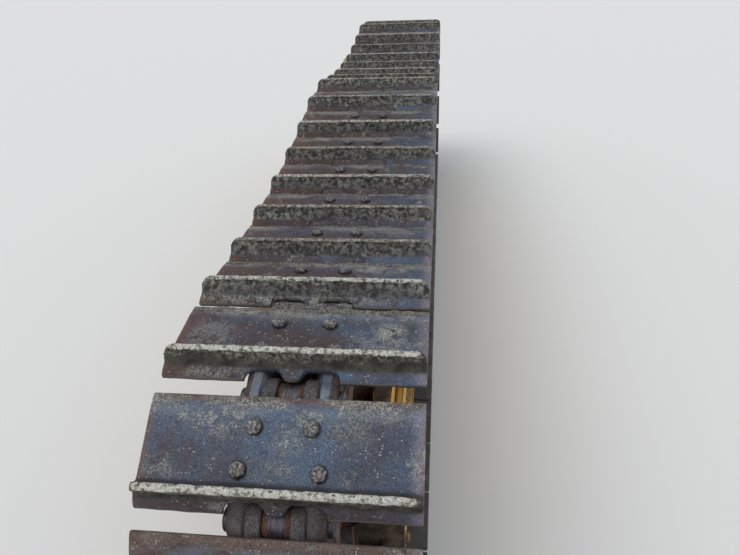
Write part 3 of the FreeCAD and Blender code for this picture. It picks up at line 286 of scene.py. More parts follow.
class Batch:
    """Collects the meshes of one piece, with the values that its material reads at each point."""

    def __init__(self):
        self.points, self.faces, self.values, self.count = [], [], {}, 0

    def add(self, points, faces, **values):
        points = np.asarray(points, float)
        self.points.append(points)
        self.faces.extend(tuple(self.count + i for i in face) for face in faces)
        self.count += len(points)
        for name, value in values.items():
            value = np.asarray(value, float)
            if value.ndim == 0:
                value = np.full(len(points), float(value))
            self.values.setdefault(name, []).append(value)

    def build(self, name, material, slot, angle=38.0):
        mesh = bpy.data.meshes.new(name)
        mesh.from_pydata((np.vstack(self.points) * MM).tolist(), [], self.faces)
        for key, value in self.values.items():
            value = np.concatenate(value)
            kind, field = ("FLOAT_VECTOR", "vector") if value.ndim == 2 else ("FLOAT", "value")
            attribute = mesh.attributes.new(key, kind, "POINT")
            attribute.data.foreach_set(field, value.astype(np.float32).ravel())
        mesh.shade_smooth()
        mesh.set_sharp_from_angle(angle=math.radians(angle))
        mesh.materials.append(material)
        piece = bpy.data.objects.new(name, mesh)
        bpy.context.scene.collection.objects.link(piece)
        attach(piece, "unit")
        return piece


def ring_faces(rings, around):
    """Faces of a closed tube of rings with caps at both ends."""
    faces = []
    for i in range(rings - 1):
        for j in range(around):
            k = (j + 1) % around
            faces.append((i * around + j, i * around + k, (i + 1) * around + k, (i + 1) * around + j))
    faces.append(tuple(range(around))[::-1])
    faces.append(tuple(range((rings - 1) * around, rings * around)))
    return faces


def turned_over(faces):
    return [face[::-1] for face in faces]


def turned(profile, sides, radius_at=None):
    """Points and faces of a solid turned about local Z, from (radius, height, roundness) steps."""
    points = []
    for radius, height, roundness in profile:
        for i in range(sides):
            angle = 2.0 * math.pi * i / sides
            flat = 1.0 if radius_at is None else radius_at(angle)
            reach = radius * (roundness + (1.0 - roundness) * flat)
            points.append((reach * math.cos(angle), reach * math.sin(angle), height))
    return np.array(points), ring_faces(len(profile), sides)


def hexagon(angle):
    """Distance from the middle to a hexagon's side for half a width of 1, its corners worn."""
    return min(1.0 / math.cos((angle + math.pi / 6.0) % (math.pi / 3.0) - math.pi / 6.0), 1.11)


def placed(points, origin, axis, spin=0.0):
    """Local points with local Z turned along an axis, spun about it and moved to a place."""
    up = Vector(axis).normalized()
    side = up.orthogonal().normalized()
    across = up.cross(side)
    c, s = math.cos(spin), math.sin(spin)
    basis = np.array([c * side + s * across, c * across - s * side, up])
    return np.asarray(points) @ basis + np.asarray(origin, float)


def hex_head(width, height, washer=0.0, sides=18):
    """Worn hexagon head that stands on z = 0, its foot sunk a little, on a washer if one is given."""
    half = 0.5 * width
    foot = -1.5
    profile = []
    if washer:
        rise = 0.22 * height
        profile = [(washer, foot, 1.0), (washer, 0.7 * rise, 1.0), (0.97 * washer, rise, 1.0)]
        foot = rise
    profile += [(half, foot, 0.0), (half, 0.62 * height, 0.0), (0.96 * half, 0.80 * height, 0.35)]
    profile += [(0.84 * half, 0.94 * height, 0.9), (0.45 * half, height, 1.0)]
    profile += [(0.12 * half, 1.01 * height, 1.0)]
    return turned(profile, sides, hexagon)


def cut_plate(outline, holes, thickness, bevel):
    """Plate with rounded edges from closed outlines, about the local XY plane."""
    curve = bpy.data.curves.new("cut_plate", "CURVE")
    curve.dimensions = "2D"
    curve.fill_mode = "BOTH"
    curve.extrude = 0.5 * thickness - bevel
    curve.bevel_depth = bevel
    curve.bevel_resolution = 0
    curve.offset = -bevel
    for ring in (outline, *holes):
        spline = curve.splines.new("POLY")
        spline.points.add(len(ring) - 1)
        for point, (x, y) in zip(spline.points, ring):
            point.co = (x, y, 0.0, 1.0)
        spline.use_cyclic_u = True
    holder = bpy.data.objects.new("cut_plate", curve)
    mesh = bpy.data.meshes.new_from_object(holder)
    bpy.data.objects.remove(holder)
    bpy.data.curves.remove(curve)
    shape = bmesh.new()
    shape.from_mesh(mesh)
    bmesh.ops.remove_doubles(shape, verts=shape.verts, dist=0.02)
    bmesh.ops.recalc_face_normals(shape, faces=shape.faces)
    shape.verts.index_update()
    points = np.array([v.co[:] for v in shape.verts])
    faces = [tuple(v.index for v in f.verts) for f in shape.faces]
    shape.free()
    bpy.data.meshes.remove(mesh)
    return points, faces


def arc_points(x, y, radius, start, end, steps):
    """Points of an arc, its angles in degrees from local X."""
    angles = np.radians(np.linspace(start, end, steps))
    return [(x + radius * math.cos(a), y + radius * math.sin(a)) for a in angles]


# Track

def lay(batch, link, shape, faces, place=None, **values):
    """Adds (s, y, n) points on a link to a piece; place is what its material reads, where it differs."""
    (x0, z0), (x1, z1) = link
    ax, az = (x1 - x0) / PITCH, (z1 - z0) / PITCH
    s, y, n = shape.T
    points = np.column_stack([x0 + s * ax - n * az, TRACK_Y + y, z0 + s * az + n * ax])
    batch.add(points, faces, place=(shape if place is None else place) * MM, **values)


def lay_strip(batch, link, shape, stations, place=None, **values):
    """Adds a closed strip that has a ring of points at each station across the track."""
    lay(batch, link, shape, ring_faces(len(stations), len(shape) // len(stations)), place, **values)


def lip_reach(y):
    """How far the leading lip reaches at a distance from the track's middle."""
    away = abs(y)
    if away >= NOTCH_OUTER:
        return LIP_FULL
    corner = NOTCH_OUTER - NOTCH_ROUND
    if away > corner:
        bend = 1.0 - ((away - corner) / NOTCH_ROUND) ** 2
        return LIP_FULL - (LIP_FULL - LIP_NOTCH) * math.sqrt(max(bend, 0.0))
    if away >= TONGUE_HALF:
        return LIP_NOTCH
    tongue = 1.0 - (away - TONGUE_FLAT) / (TONGUE_HALF - TONGUE_FLAT)
    return LIP_NOTCH + TONGUE_LENGTH * float(smooth(tongue, 0.0, 1.0))


def shoe_section(reach):
    """(s, n) points round a shoe whose lip ends at reach."""
    upper = ([LIP_ROOT, 150.0, 154.5, 160.0, 168.0], [56.0, 51.0, 47.8, 44.0, 38.8])
    under = ([140.0, 150.0, 158.0, 164.0, 168.0], [38.0, 37.3, 34.5, 31.6, 30.2])
    lip = [(s, float(np.interp(s, *upper))) for s in np.linspace(LIP_ROOT, reach - 2.0, 5)]
    high = lip[-1][1]
    low = float(np.interp(reach - 4.0, *under))
    tip = [(reach, 0.62 * high + 0.38 * low), (reach - 0.4, 0.28 * high + 0.72 * low), (reach - 3.0, low)]
    back = [(s, float(np.interp(s, *under))) for s in np.linspace(reach - 3.0, 140.0, 4)[1:]]
    return (
        [(15.0, 37.6), (4.6, 37.5), (3.7, 39.4), (3.9, 42.4), (6.5, 43.9), (11.0, 44.7), (18.0, 45.6)]
        + [(25.0, 46.9), (29.0, 47.3)] + [(s, PLATE_TOP) for s in (40.0, 56.0, 72.0, 88.0, 104.0, 117.0)]
        + [(124.5, 47.8), (128.8, 50.2), (131.0, 55.0), (132.6, 63.0), (134.0, 71.0), (135.2, 76.3)]
        + [(137.4, CREST), (141.0, CREST), (143.4, 76.6), (144.6, 71.0), (146.0, 63.0)]
        + lip + tip + back + [(104.0, 38.0), (60.0, 38.0)]
    )


def tip_height(y):
    """Highest point of the rounded grouser at a distance from the track's middle."""
    past = abs(y) - (SHOE_HALF - GROUSER_ROUND)
    if past <= 0.0:
        return CREST
    return CREST - GROUSER_ROUND + math.sqrt(max(GROUSER_ROUND ** 2 - past ** 2, 0.0))


def lowered(n, y):
    """Heights over the plate, drawn in where the grouser's ends are rounded."""
    scale = (tip_height(y) - PLATE_TOP) / (CREST - PLATE_TOP)
    return np.where(n > PLATE_TOP, PLATE_TOP + (n - PLATE_TOP) * scale, n)


def shoe_points(seed):
    """(s, y, n) of one shoe's points, with the dents and worn edges of its own."""
    points = []
    for y in STATIONS:
        section = np.array(shoe_section(lip_reach(y)))
        end = float(smooth(abs(y), 201.8, SHOE_HALF))
        for (s, n0), n in zip(section, lowered(section[:, 1], y)):
            plate = 0.55 * wander(seed, s / 45.0, y / 70.0, 0.0)
            nick = wander(seed, s / 9.0, y / 9.0, n / 9.0)
            lip = float(smooth(s, 158.0, 166.0)) * float(smooth(abs(y), 50.0, 70.0))
            crest = float(smooth(n0, 70.0, CREST))
            s -= lip * (0.9 + 1.1 * wander(seed, 3.0, y / 26.0, 1.0)) + 1.3 * end * (s - 86.0) / 82.0
            s += 0.5 * crest * nick
            n += plate + 0.35 * nick * lip - crest * (0.9 + 1.2 * wander(seed, 7.0, y / 32.0, 4.0))
            n -= 1.3 * end * (n - 42.6) / 10.0 if n < 60.0 else 1.3 * end
            points.append((s, y, min(n, TIP_LIMIT)))
    return np.array(points)


def blots(marks, shape):
    """Soft ovals from 0 to 1 on a shoe, each (s, y, half length, half width, amount)."""
    result = np.zeros(len(shape))
    for s, y, long, wide, amount in marks:
        away = np.hypot((shape[:, 0] - s) / long, (shape[:, 1] - y) / wide)
        result = np.maximum(result, amount * (1.0 - smooth(away, 0.55, 1.15)))
    return result


def rim_points(seed, height):
    """(s, y, n) of the broken ridge of dried mud on a shoe's rear rim."""
    points = []
    for y in CRUST_STATIONS:
        swell = 2.6 + 3.4 * wander(seed, y / 24.0, 5.0, 0.0) + 2.0 * wander(seed, y / 7.0, 3.0, 2.0)
        rise = height * swell - 1.2
        wide = 12.0 + 5.0 * wander(seed, y / 15.0, 0.0, 7.0)
        ring = [(5.0, 41.0), (4.4, 42.0), (4.2 - 0.1 * rise, 42.6 + 0.7 * rise), (6.6, 43.9 + rise)]
        ring += [(9.5, 44.4 + 0.9 * rise), (wide, 44.9 + 0.45 * rise), (wide + 5.0, 44.0), (wide, 42.0)]
        points.extend((s, y, n) for s, n in ring)
    return np.array(points)


def packed_points(seed, first, last, heights):
    """(s, y, n) of dirt packed over the link ends in the gap before the next shoe."""
    points = []
    for y in PACKED_STATIONS:
        edge = 1.5 * float(smooth(abs(y), 60.0, 71.0))
        ring = []
        for s in np.linspace(first, last, 10):
            n = float(np.interp(s, *heights)) - edge + 1.4 * wander(seed, s / 14.0, y / 18.0, 0.0)
            ring.append((s, n + 1.1 * wander(seed, s / 5.0, y / 5.0, 4.0)))
        ring += [(last, 27.0), (0.5 * (first + last), 25.0), (first, 27.0)]
        points.extend((s, y, n) for s, n in ring)
    return np.array(points)


def crust_points(seed, height):
    """(s, y, n) of the dried mud that caps a grouser's crest, and how much there is."""
    outer = [(133.6, GROUSER_FOOT), (134.6, 72.6), (135.3, 76.3), (137.4, CREST), (139.3, CREST + 0.4)]
    outer += [(141.0, CREST), (143.4, 76.6), (144.4, 72.5), (145.2, GROUSER_FOOT)]
    middle = len(outer) // 2
    points = []
    for y in CRUST_STATIONS:
        rear_drop = 7.0 + 5.5 * wander(seed, y / 17.0, 2.0, 0.0) + 3.0 * wander(seed, y / 5.0, 8.0, 0.0)
        front_drop = 8.5 + 6.5 * wander(seed, y / 21.0, 6.0, 3.0) + 3.5 * wander(seed, y / 6.0, 1.0, 5.0)
        ring = []
        for i, (s, n) in enumerate(outer):
            drop = height * (rear_drop if i < middle else front_drop)
            share = abs(i - middle) / middle
            n = min(n, CREST) - (drop - (CREST - GROUSER_FOOT)) * (share if share > 0.6 else 0.0) * 0.9
            lumps = wander(seed, s / 5.0, y / 6.5, n / 6.0) + 0.5 * wander(seed, s / 8.0, y / 15.0, 9.0)
            thick = 0.5 + 1.8 * height * (1.0 - share ** 4) * (0.75 + 0.8 * lumps)
            if i in (0, len(outer) - 1):
                thick = -1.4
            direction = Vector((s - 139.4, (n - 72.0) * 1.2)).normalized()
            ring.append((s + thick * direction.x, n + thick * direction.y))
        ring = np.array(ring + [(142.0, 62.0), (137.0, 62.0)])
        points.extend((s, y, min(n, TIP_LIMIT)) for s, n in zip(ring[:, 0], lowered(ring[:, 1], y)))
    return np.array(points)


def link_shape():
    """One link as (s, n, side) points with its windows, side 0 in the middle of its thickness."""
    rail = (-33.0, 20.0, 60.0, 85.0, 110.0, 150.0, PITCH + 33.0)
    outline = [(s, -RAIL_HEIGHT) for s in rail]
    outline += arc_points(PITCH + 27.0, -40.0, 10.0, -60.0, 0.0, 3)
    outline += arc_points(PITCH, 0.0, EYE_RADIUS, -15.0, 100.0, 8)
    outline += [(s, LINK_TOP) for s in (150.0, 125.0, 104.0, 85.0, 66.0, 45.0, 20.0)]
    outline += arc_points(0.0, 0.0, EYE_RADIUS, 80.0, 195.0, 8)
    outline += arc_points(-27.0, -40.0, 10.0, 180.0, 240.0, 3)
    windows = []
    for middle, half in ((47.0, 17.0), (113.0, 19.0)):
        window = arc_points(middle + half - 8.0, 10.0, 8.0, 0.0, 90.0, 3)
        window += arc_points(middle - half + 8.0, 10.0, 8.0, 90.0, 180.0, 3)
        window += arc_points(middle - half + 9.0, -13.0, 9.0, 180.0, 270.0, 3)
        window += arc_points(middle + half - 9.0, -13.0, 9.0, 270.0, 360.0, 3)
        windows.append(window[::-1])
    points, faces = cut_plate(outline, windows, 24.0, 2.0)
    # Wide chamfer on the outer side of the pin end
    boss = (points[:, 0] > 141.0) & (points[:, 1] > -12.0) & (points[:, 2] > 5.0)
    face = boss & (points[:, 2] > 11.0)
    away = points[:, :2] - (PITCH, 0.0)
    points[face, :2] -= 6.5 * away[face] / np.linalg.norm(away[face], axis=1)[:, None]
    points[boss & ~face, 2] = 1.5
    return points, faces


def link_side(s, z):
    """Distance from the track's middle of a link's points; the link steps out from bushing to pin."""
    out = smooth(s, 45.0, 125.0)
    return 32.0 + 26.0 * out + z * (0.92 + 0.16 * out)


def lay_shoe(shoes, crusts, link, k, seed, chance):
    """A worn shoe with the mud on its crest and rear rim, and the dirt packed before the next one."""
    upper = link[0][1] > UPPER_RUN_Z
    # Rust amount; on the nearest shoes it also holds painted shade
    rust = RUST_AND_SHADE_NEAR.get(k, 0.45 + 0.4 * chance)
    cake = CAKE_NEAR.get(k, 0.42 + 0.2 * chance) if link[0][1] > 300.0 else 0.3
    shape = shoe_points(seed)
    splash = blots(SPLASHES_NEAR.get(k, ()), shape)
    stain = blots(STAINS_NEAR.get(k, USUAL_STAINS), shape)
    lay_strip(shoes, link, shape, STATIONS, seed=chance, rust=rust, cake=cake, splash=splash, stain=stain)
    lay_strip(crusts, link, crust_points(seed + 0.3, cake), CRUST_STATIONS, seed=chance, cake=cake)
    # The rim's mud reads its colours as if it lay on the crest
    rim = rim_points(seed + 0.7, RIM_NEAR.get(k, 1.0 if upper else 0.5))
    lay_strip(crusts, link, rim, CRUST_STATIONS, rim + (132.0, 0.0, 34.0), seed=chance, cake=0.3)
    if not upper or k in ON_CURVE or abs(link[1][1] - link[0][1]) >= 45.0:
        return
    last = k == LINK_COUNT - 1
    packed = packed_points(seed + 0.9, 162.0 if last else 146.0, 182.0, PACKED_HEIGHTS)
    splash, stain = (0.55, 0.55) if last else (0.12, 0.8)
    lay_strip(shoes, link, packed, PACKED_STATIONS, packed * (1.0, 1.0, 0.0) + (0.0, 0.0, 44.0),
              seed=chance, rust=rust, cake=cake, splash=splash, stain=stain)
    if last:
        deep = packed_points(seed + 0.4, 140.0, 166.0, DEEP_HEIGHTS)
        lay_strip(crusts, link, deep, PACKED_STATIONS, deep - (0.0, 0.0, 20.0), seed=chance, cake=1.0)


def lay_bolts(bolts, link, k, seed, chance):
    """The four dented heads that hold a shoe, each turned its own way."""
    head, faces = hex_head(BOLT_WIDTH, BOLT_HEIGHT, sides=24)
    for s, half in BOLT_ROWS:
        for side in (-half, half):
            worn = placed(head, ORIGIN, UP, 6.0 * wander(seed, s / 9.0, side / 7.0, 0.0))
            lump = np.array([1.0 + 0.07 * wander(seed + side, *(p / 6.0)) for p in worn])
            worn = worn * lump[:, None] + (s, side, 0.0)
            lay(bolts, link, worn + (0.0, 0.0, PLATE_TOP - BOLT_SUNK), faces, worn,
                seed=chance, cake=BOLT_CAKE_NEAR.get(k, 0.2))


def build_chain(finishes):
    """Shoes, their mud, bolts, links, pins and bushings; together they stand for the track node."""
    front, rear, crusts, bolts, bars, rounds = (Batch() for _ in range(6))
    bar, bar_faces = link_shape()
    half_bushing = [(22.0, 20.8, 1.0), (26.0, 20.6, 1.0), (27.0, 19.4, 1.0), (27.0, 8.0, 1.0)]
    profile = [(radius, -height, 1.0) for radius, height, _ in half_bushing] + [(26.4, 0.0, 1.0)]
    bushing, bushing_faces = turned(profile + half_bushing[::-1], 28)
    pin, pin_faces = turned([(18.0, -6.0, 1.0), (18.0, 7.0, 1.0), (16.6, 8.6, 1.0), (9.0, 8.8, 1.0)]
                            + [(7.5, 6.6, 1.0), (2.0, 6.4, 1.0)], 22)
    links = chain_links()
    middle_x = sum(x for (x, _), _ in links) / len(links)
    for k, link in enumerate(links):
        seed = 1.0 + 0.618 * k
        chance = (seed * 7.31) % 1.0
        lay_shoe(front if link[0][0] > middle_x else rear, crusts, link, k, seed, chance)
        lay_bolts(bolts, link, k, seed, chance)
        for side in (-1.0, 1.0):
            shape = np.column_stack([bar[:, 0], side * link_side(bar[:, 0], bar[:, 2]), bar[:, 1]])
            lay(bars, link, shape, bar_faces if side < 0.0 else turned_over(bar_faces),
                seed=chance, polish=POLISH_NEAR.get(k, 0.6))
            stub = placed(pin, ORIGIN, (0.0, side, 0.0))
            lay(rounds, link, stub + (PITCH, side * PIN_END_OUT, 0.0), pin_faces, stub, seed=chance)
        lay(rounds, link, placed(bushing, ORIGIN, OUTBOARD), bushing_faces, seed=chance)
    for name, batch in (("track_shoes_front", front), ("track_shoes_rear", rear)):
        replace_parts(batch.build(name, finishes["shoe_steel"], "track"), "track")
    crusts.build("grouser_mud", finishes["dried_mud"], "track", angle=70.0)
    bolts.build("shoe_bolts", finishes["bolt_steel"], "track")
    bars.build("chain_links", finishes["link_steel"], "track")
    rounds.build("chain_pins_and_bushings", finishes["bushing_steel"], "track")


# Fasteners, welds and dirt on the frame. A head is (width, height) or (width, height, radius of its washer).

def corners(node):
    """Lowest and highest corner of a node's box."""
    return [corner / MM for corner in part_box(node)]


def add_bolt(batch, origin, axis, head, turn=0.0):
    """Hexagon head on a face; the material reads its own place on the head."""
    points, faces = hex_head(*head)
    seed = (0.013 * origin[0] + 0.029 * origin[1] + 0.041 * origin[2]) % 1.0
    batch.add(placed(points, origin, axis, turn), faces, place=points * MM, seed=seed, cake=0.2)


def bolt_circle(batch, axle, y, facing, radius, angles, head):
    """Heads on a face across the track, round an axle, at angles in degrees from the front."""
    for i, angle in enumerate(angles):
        a = math.radians(angle)
        spot = (axle[0] + radius * math.cos(a), y, axle[1] + radius * math.sin(a))
        add_bolt(batch, spot, facing, head, 0.7 * i)


def build_fasteners(finishes):
    painted, steel = Batch(), Batch()
    sprocket = (SPROCKET_X, SPROCKET_Z)
    # Sprocket segments on the hub, three to a segment, with their nuts behind
    low, high = corners("sprocket_segments")
    spots = [SEGMENT_JOINT + 72.0 * k + further for k in range(5) for further in (12.0, 36.0, 60.0)]
    bolt_circle(steel, sprocket, high.y, OUTBOARD, SEGMENT_BOLTS, spots, (30.0, 15.0, 19.0))
    bolt_circle(steel, sprocket, low.y - HUB_FLANGE, INBOARD, SEGMENT_BOLTS, spots, (30.0, 18.0))
    # Final drive cover
    low, high = corners("drive_cover")
    bolt_circle(painted, sprocket, low.y + COVER_RIM, OUTBOARD, COVER_BOLTS, range(0, 360, 30), (15.0, 7.0))
    add_bolt(painted, (SPROCKET_X, high.y, SPROCKET_Z), OUTBOARD, (30.0, 12.0, 22.0))
    # Idler bearing blocks, with a plug in the middle of each cap
    for side, facing in (("outer", OUTBOARD), ("inner", INBOARD)):
        low, high = corners("idler_block_" + side)
        face = high.y if side == "outer" else low.y
        bolt_circle(painted, (IDLER_X, IDLER_Z), face, facing, CAP_BOLTS, range(45, 360, 90),
                    (13.0, 6.5, 9.0))
        add_bolt(painted, (IDLER_X, face, IDLER_Z), facing, (18.0, 8.0, 13.0))
        for x in BLOCK_BOLTS_X:
            for z in BLOCK_BOLTS_Z:
                spot = (IDLER_X + x, face - facing[1] * CAP_THICKNESS, IDLER_Z + z)
                add_bolt(painted, spot, facing, (17.0, 8.0, 12.0))
    # Recoil cover and the gland of its rod
    low, high = corners("recoil_cover")
    for x in np.linspace(low.x + COVER_INSET_X, high.x - COVER_INSET_X, 6):
        for y in (low.y + COVER_INSET_Y, high.y - COVER_INSET_Y):
            add_bolt(painted, (x, y, low.z + COVER_PLATE), UP, (13.0, 6.5, 8.5), 0.01 * x)
    for i in range(6):
        a = math.radians(30.0 + 60.0 * i)
        spot = (GLAND_FACE, TRACK_Y + GLAND_BOLTS * math.cos(a), IDLER_Z + GLAND_BOLTS * math.sin(a))
        add_bolt(painted, spot, (1.0, 0.0, 0.0), (12.0, 6.0))
    # Carrier roller cap, clamp ears and foot
    low, high = corners("carrier_roller")
    x, z = 0.5 * (low.x + high.x), 0.5 * (low.z + high.z)
    bolt_circle(steel, (x, z), high.y, OUTBOARD, CARRIER_CAP_BOLTS, (30, 150, 270), (14.0, 7.0, 9.5))
    for side in (-1.0, 1.0):
        add_bolt(painted, (x + EAR_BOLT_X * side, EAR_BOLT_Y, EAR_BOLT_Z), (side, 0.0, 0.0),
                 (19.0, 11.0, 12.5))
        for z in FOOT_BOLTS_Z:
            add_bolt(painted, (x + FOOT_BOLTS_X * side, FOOT_BOLTS_Y, z), INBOARD, (19.0, 10.0, 13.0))
    # Feet of the bottom rollers and the chain guards, from below
    feet = [("roller_mount_%d" % number, 11.0, 2, 115.0, 18.0, 10.5) for number in range(1, 7)]
    feet += [("chain_guard_" + name, 25.0, 3, 122.0, 14.0, 12.0) for name in ("front", "middle", "rear")]
    for node, inset, count, away, thick, washer in feet:
        low, high = corners(node)
        for x in np.linspace(low.x + inset, high.x - inset, count):
            for y in (-away, away):
                add_bolt(steel, (x, TRACK_Y + y, high.z - thick), DOWN, (17.0, 10.0, washer))
    painted.build("frame_bolts", finishes["yellow_paint"], "frame_paint")
    steel.build("steel_bolts", finishes["bolt_steel"], "shaft_steel")


def add_weld(batch, line, first, second, size, closed=False):
    """Rippled fillet weld along a line of points, between faces whose normals are first and second."""
    section = [(-0.35, -0.35), (1.0, -0.1), (0.88, 0.36), (0.62, 0.62), (0.36, 0.88), (-0.1, 1.0)]
    around = len(section)
    points = []
    for i, (point, a, b) in enumerate(zip(line, first, second)):
        swell = size * (0.86 + 0.14 * (i % 2) + 0.12 * wander(3.0, *(point / 23.0)))
        points.extend(point + swell * (u * a + v * b) for u, v in section)
    faces = ring_faces(len(line), around)
    if closed:
        last = (len(line) - 1) * around
        nexts = [(j + 1) % around for j in range(around)]
        faces = faces[:-2] + [(last + j, last + k, k, j) for j, k in enumerate(nexts)]
    if np.dot(np.cross(first[0], second[0]), line[1] - line[0]) > 0.0:
        faces = turned_over(faces)
    batch.add(points, faces)


def straight_weld(batch, start, end, first, second, size):
    start, end, first, second = (np.array(v, float) for v in (start, end, first, second))
    count = max(int(np.linalg.norm(end - start) / 5.0), 2)
    line = [start + (end - start) * i / count for i in range(count + 1)]
    add_weld(batch, line, [first] * len(line), [second] * len(line), size)


def build_welds(finishes):
    welds = Batch()
    outer_wall, inner_wall = TRACK_Y + FRAME_HALF, TRACK_Y - FRAME_HALF
    for y, facing in ((outer_wall, OUTBOARD), (inner_wall, INBOARD)):
        straight_weld(welds, (FRAME_REAR, y, FLANGE_TOP), (FRAME_FRONT, y, FLANGE_TOP), facing, UP, 7.0)
    # Gussets on the outboard wall
    for middle in np.linspace(FRAME_REAR + 130.0, FRAME_FRONT - 130.0, 6):
        for side in (-1.0, 1.0):
            x, along = middle + GUSSET_HALF * side, (side, 0.0, 0.0)
            straight_weld(welds, (x, outer_wall, FLANGE_TOP + 2.0), (x, outer_wall, GUSSET_TOP),
                          along, OUTBOARD, 5.5)
    # Webs of the mounting brackets, on the wall and on their plates
    for name in ("front_mount", "rear_mount"):
        low, high = corners(name)
        for web in (-WEB_FROM_MIDDLE, WEB_FROM_MIDDLE):
            for side in (-1.0, 1.0):
                x, along = 0.5 * (low.x + high.x) + web + WEB_HALF * side, (side, 0.0, 0.0)
                straight_weld(welds, (x, inner_wall, FLANGE_TOP + 4.0), (x, inner_wall, WEB_TOP),
                              along, INBOARD, 7.0)
                y = low.y + MOUNT_PLATE
                straight_weld(welds, (x, y, low.z + 16.0), (x, y, high.z - 16.0), along, OUTBOARD, 7.0)
    # Gland ring on the front plate
    turns = np.radians(np.linspace(0.0, 360.0, 73)[:-1])
    ring = [np.array((0.0, math.cos(a), math.sin(a))) for a in turns]
    line = [np.array((FRAME_FRONT, TRACK_Y, IDLER_Z)) + GLAND_RING * r for r in ring]
    add_weld(welds, line, ring, [np.array((1.0, 0.0, 0.0))] * len(ring), 5.0, True)
    welds.build("frame_welds", finishes["yellow_paint"], "frame_paint", angle=60.0)


def build_dirt(finishes):
    """Dirt that has settled on the frame's bottom flanges, beside its walls."""
    dirt = Batch()
    stations = np.arange(FRAME_REAR + 5.0, FRAME_FRONT - 5.0, 7.0)
    for side in (1.0, -1.0):
        points = []
        for x in stations:
            swell = 0.5 + 0.5 * wander(side + 5.0, x / 90.0, 0.0, 0.0)
            high = 2.0 + 26.0 * swell ** 1.5 + 2.5 * wander(side, x / 13.0, 3.0, 0.0)
            wide = min(5.0 + 12.0 * swell + 1.5 * wander(side, x / 11.0, 9.0, 0.0), 17.0)
            slope = [(-0.3, 1.0), (0.16, 0.86), (0.5, 0.42), (0.8, 0.12)]
            for u, v in [(-0.3, -1.5)] + [(u, share * high) for u, share in slope] + [(1.0, -1.5)]:
                bump = wander(2.0, x / 6.0, u * 3.0, side) if v > 0.0 else 0.0
                points.append((x, TRACK_Y + side * (FRAME_HALF + wide * u), FLANGE_TOP + v + bump))
        faces = ring_faces(len(stations), 6)
        dirt.add(points, faces if side > 0.0 else turned_over(faces))
    dirt.build("settled_dirt", finishes["settled_dirt"], "frame_paint", angle=70.0)


# Materials. Lengths in them are metres, and tones are as a screen shows them, from 0 to 255.

class Wire:
    """Output of a shader node that can be calculated with."""

    def __init__(self, socket):
        self.socket, self.tree = socket, socket.id_data

    def __add__(self, other):
        return calc("ADD", self, other)

    def __radd__(self, other):
        return calc("ADD", other, self)

    def __sub__(self, other):
        return calc("SUBTRACT", self, other)

    def __rsub__(self, other):
        return calc("SUBTRACT", other, self)

    def __mul__(self, other):
        return calc("MULTIPLY", self, other)

    def __truediv__(self, other):
        return calc("DIVIDE", self, other)

    def __rtruediv__(self, other):
        return calc("DIVIDE", other, self)

    def __abs__(self):
        return calc("ABSOLUTE", self)


def fill(node, inputs):
    """Gives a node's inputs their values, or joins them to wires."""
    for key, value in inputs.items():
        if isinstance(value, Wire):
            value.tree.links.new(value.socket, node.inputs[key])
        else:
            node.inputs[key].default_value = value


def put(tree, kind, inputs=(), **settings):
    """Adds a node with its options and inputs, and returns its outputs."""
    node = tree.nodes.new(kind)
    for name, value in settings.items():
        setattr(node, name, value)
    fill(node, dict(inputs))
    return node.outputs


def calc(operation, *values):
    tree = next(value.tree for value in values if isinstance(value, Wire))
    return Wire(put(tree, "ShaderNodeMath", enumerate(values), operation=operation)[0])


def most(first, *others):
    """The largest of some values at each point."""
    for other in others:
        first = calc("MAXIMUM", first, other)
    return first


def clamped(value):
    return Wire(put(value.tree, "ShaderNodeClamp", {0: value})[0])


def step(value, low, high):
    """0 at low and 1 at high, softly; the other way round where low is the larger."""
    ends = {0: value, 1: min(low, high), 2: max(low, high)}
    result = Wire(put(value.tree, "ShaderNodeMapRange", ends, interpolation_type="SMOOTHSTEP")[0])
    return 1.0 - result if low > high else result


def scene_colour(shown):
    """Scene colour of a tone."""
    shown = [channel / 255.0 for channel in shown]
    return tuple(c / 12.92 if c <= 0.04045 else ((c + 0.055) / 1.055) ** 2.4 for c in shown) + (1.0,)


def mixed(share, first, second):
    """Colour between two, each a wire or a tone."""
    first, second = (c if isinstance(c, Wire) else scene_colour(c) for c in (first, second))
    tree = next(value.tree for value in (share, first, second) if isinstance(value, Wire))
    return Wire(put(tree, "ShaderNodeMix", {0: share, 6: first, 7: second}, data_type="RGBA")[2])


def layered(colour, *layers):
    """Colour under layers from the lowest up, each (share, colour)."""
    for share, over in layers:
        colour = mixed(share, colour, over)
    return colour


def vector_math(operation, first, second, output=0):
    return Wire(put(first.tree, "ShaderNodeVectorMath", {0: first, 1: second}, operation=operation)[output])


def cloud(place, scale, detail, roughness, distortion=0.0, stretch=None):
    """Soft noise, longer along the axes where stretch is small."""
    if stretch:
        place = vector_math("MULTIPLY", place, stretch)
    inputs = {"Vector": place, "Scale": scale, "Detail": detail, "Roughness": roughness}
    inputs["Distortion"] = distortion
    return Wire(put(place.tree, "ShaderNodeTexNoise", inputs)["Fac"])


def parts_of(vector):
    return [Wire(part) for part in put(vector.tree, "ShaderNodeSeparateXYZ", {0: vector})]


def start_effect(name, **numbers):
    """Node group of a shared effect; returns its inputs, a place and some numbers."""
    group = bpy.data.node_groups.new(name, "ShaderNodeTree")
    group.interface.new_socket("Place", in_out="INPUT", socket_type="NodeSocketVector")
    for label, value in numbers.items():
        socket = group.interface.new_socket(label, in_out="INPUT", socket_type="NodeSocketFloat")
        socket.default_value = value
    given = group.nodes.new("NodeGroupInput").outputs
    return [Wire(given[label]) for label in ("Place", *numbers)]


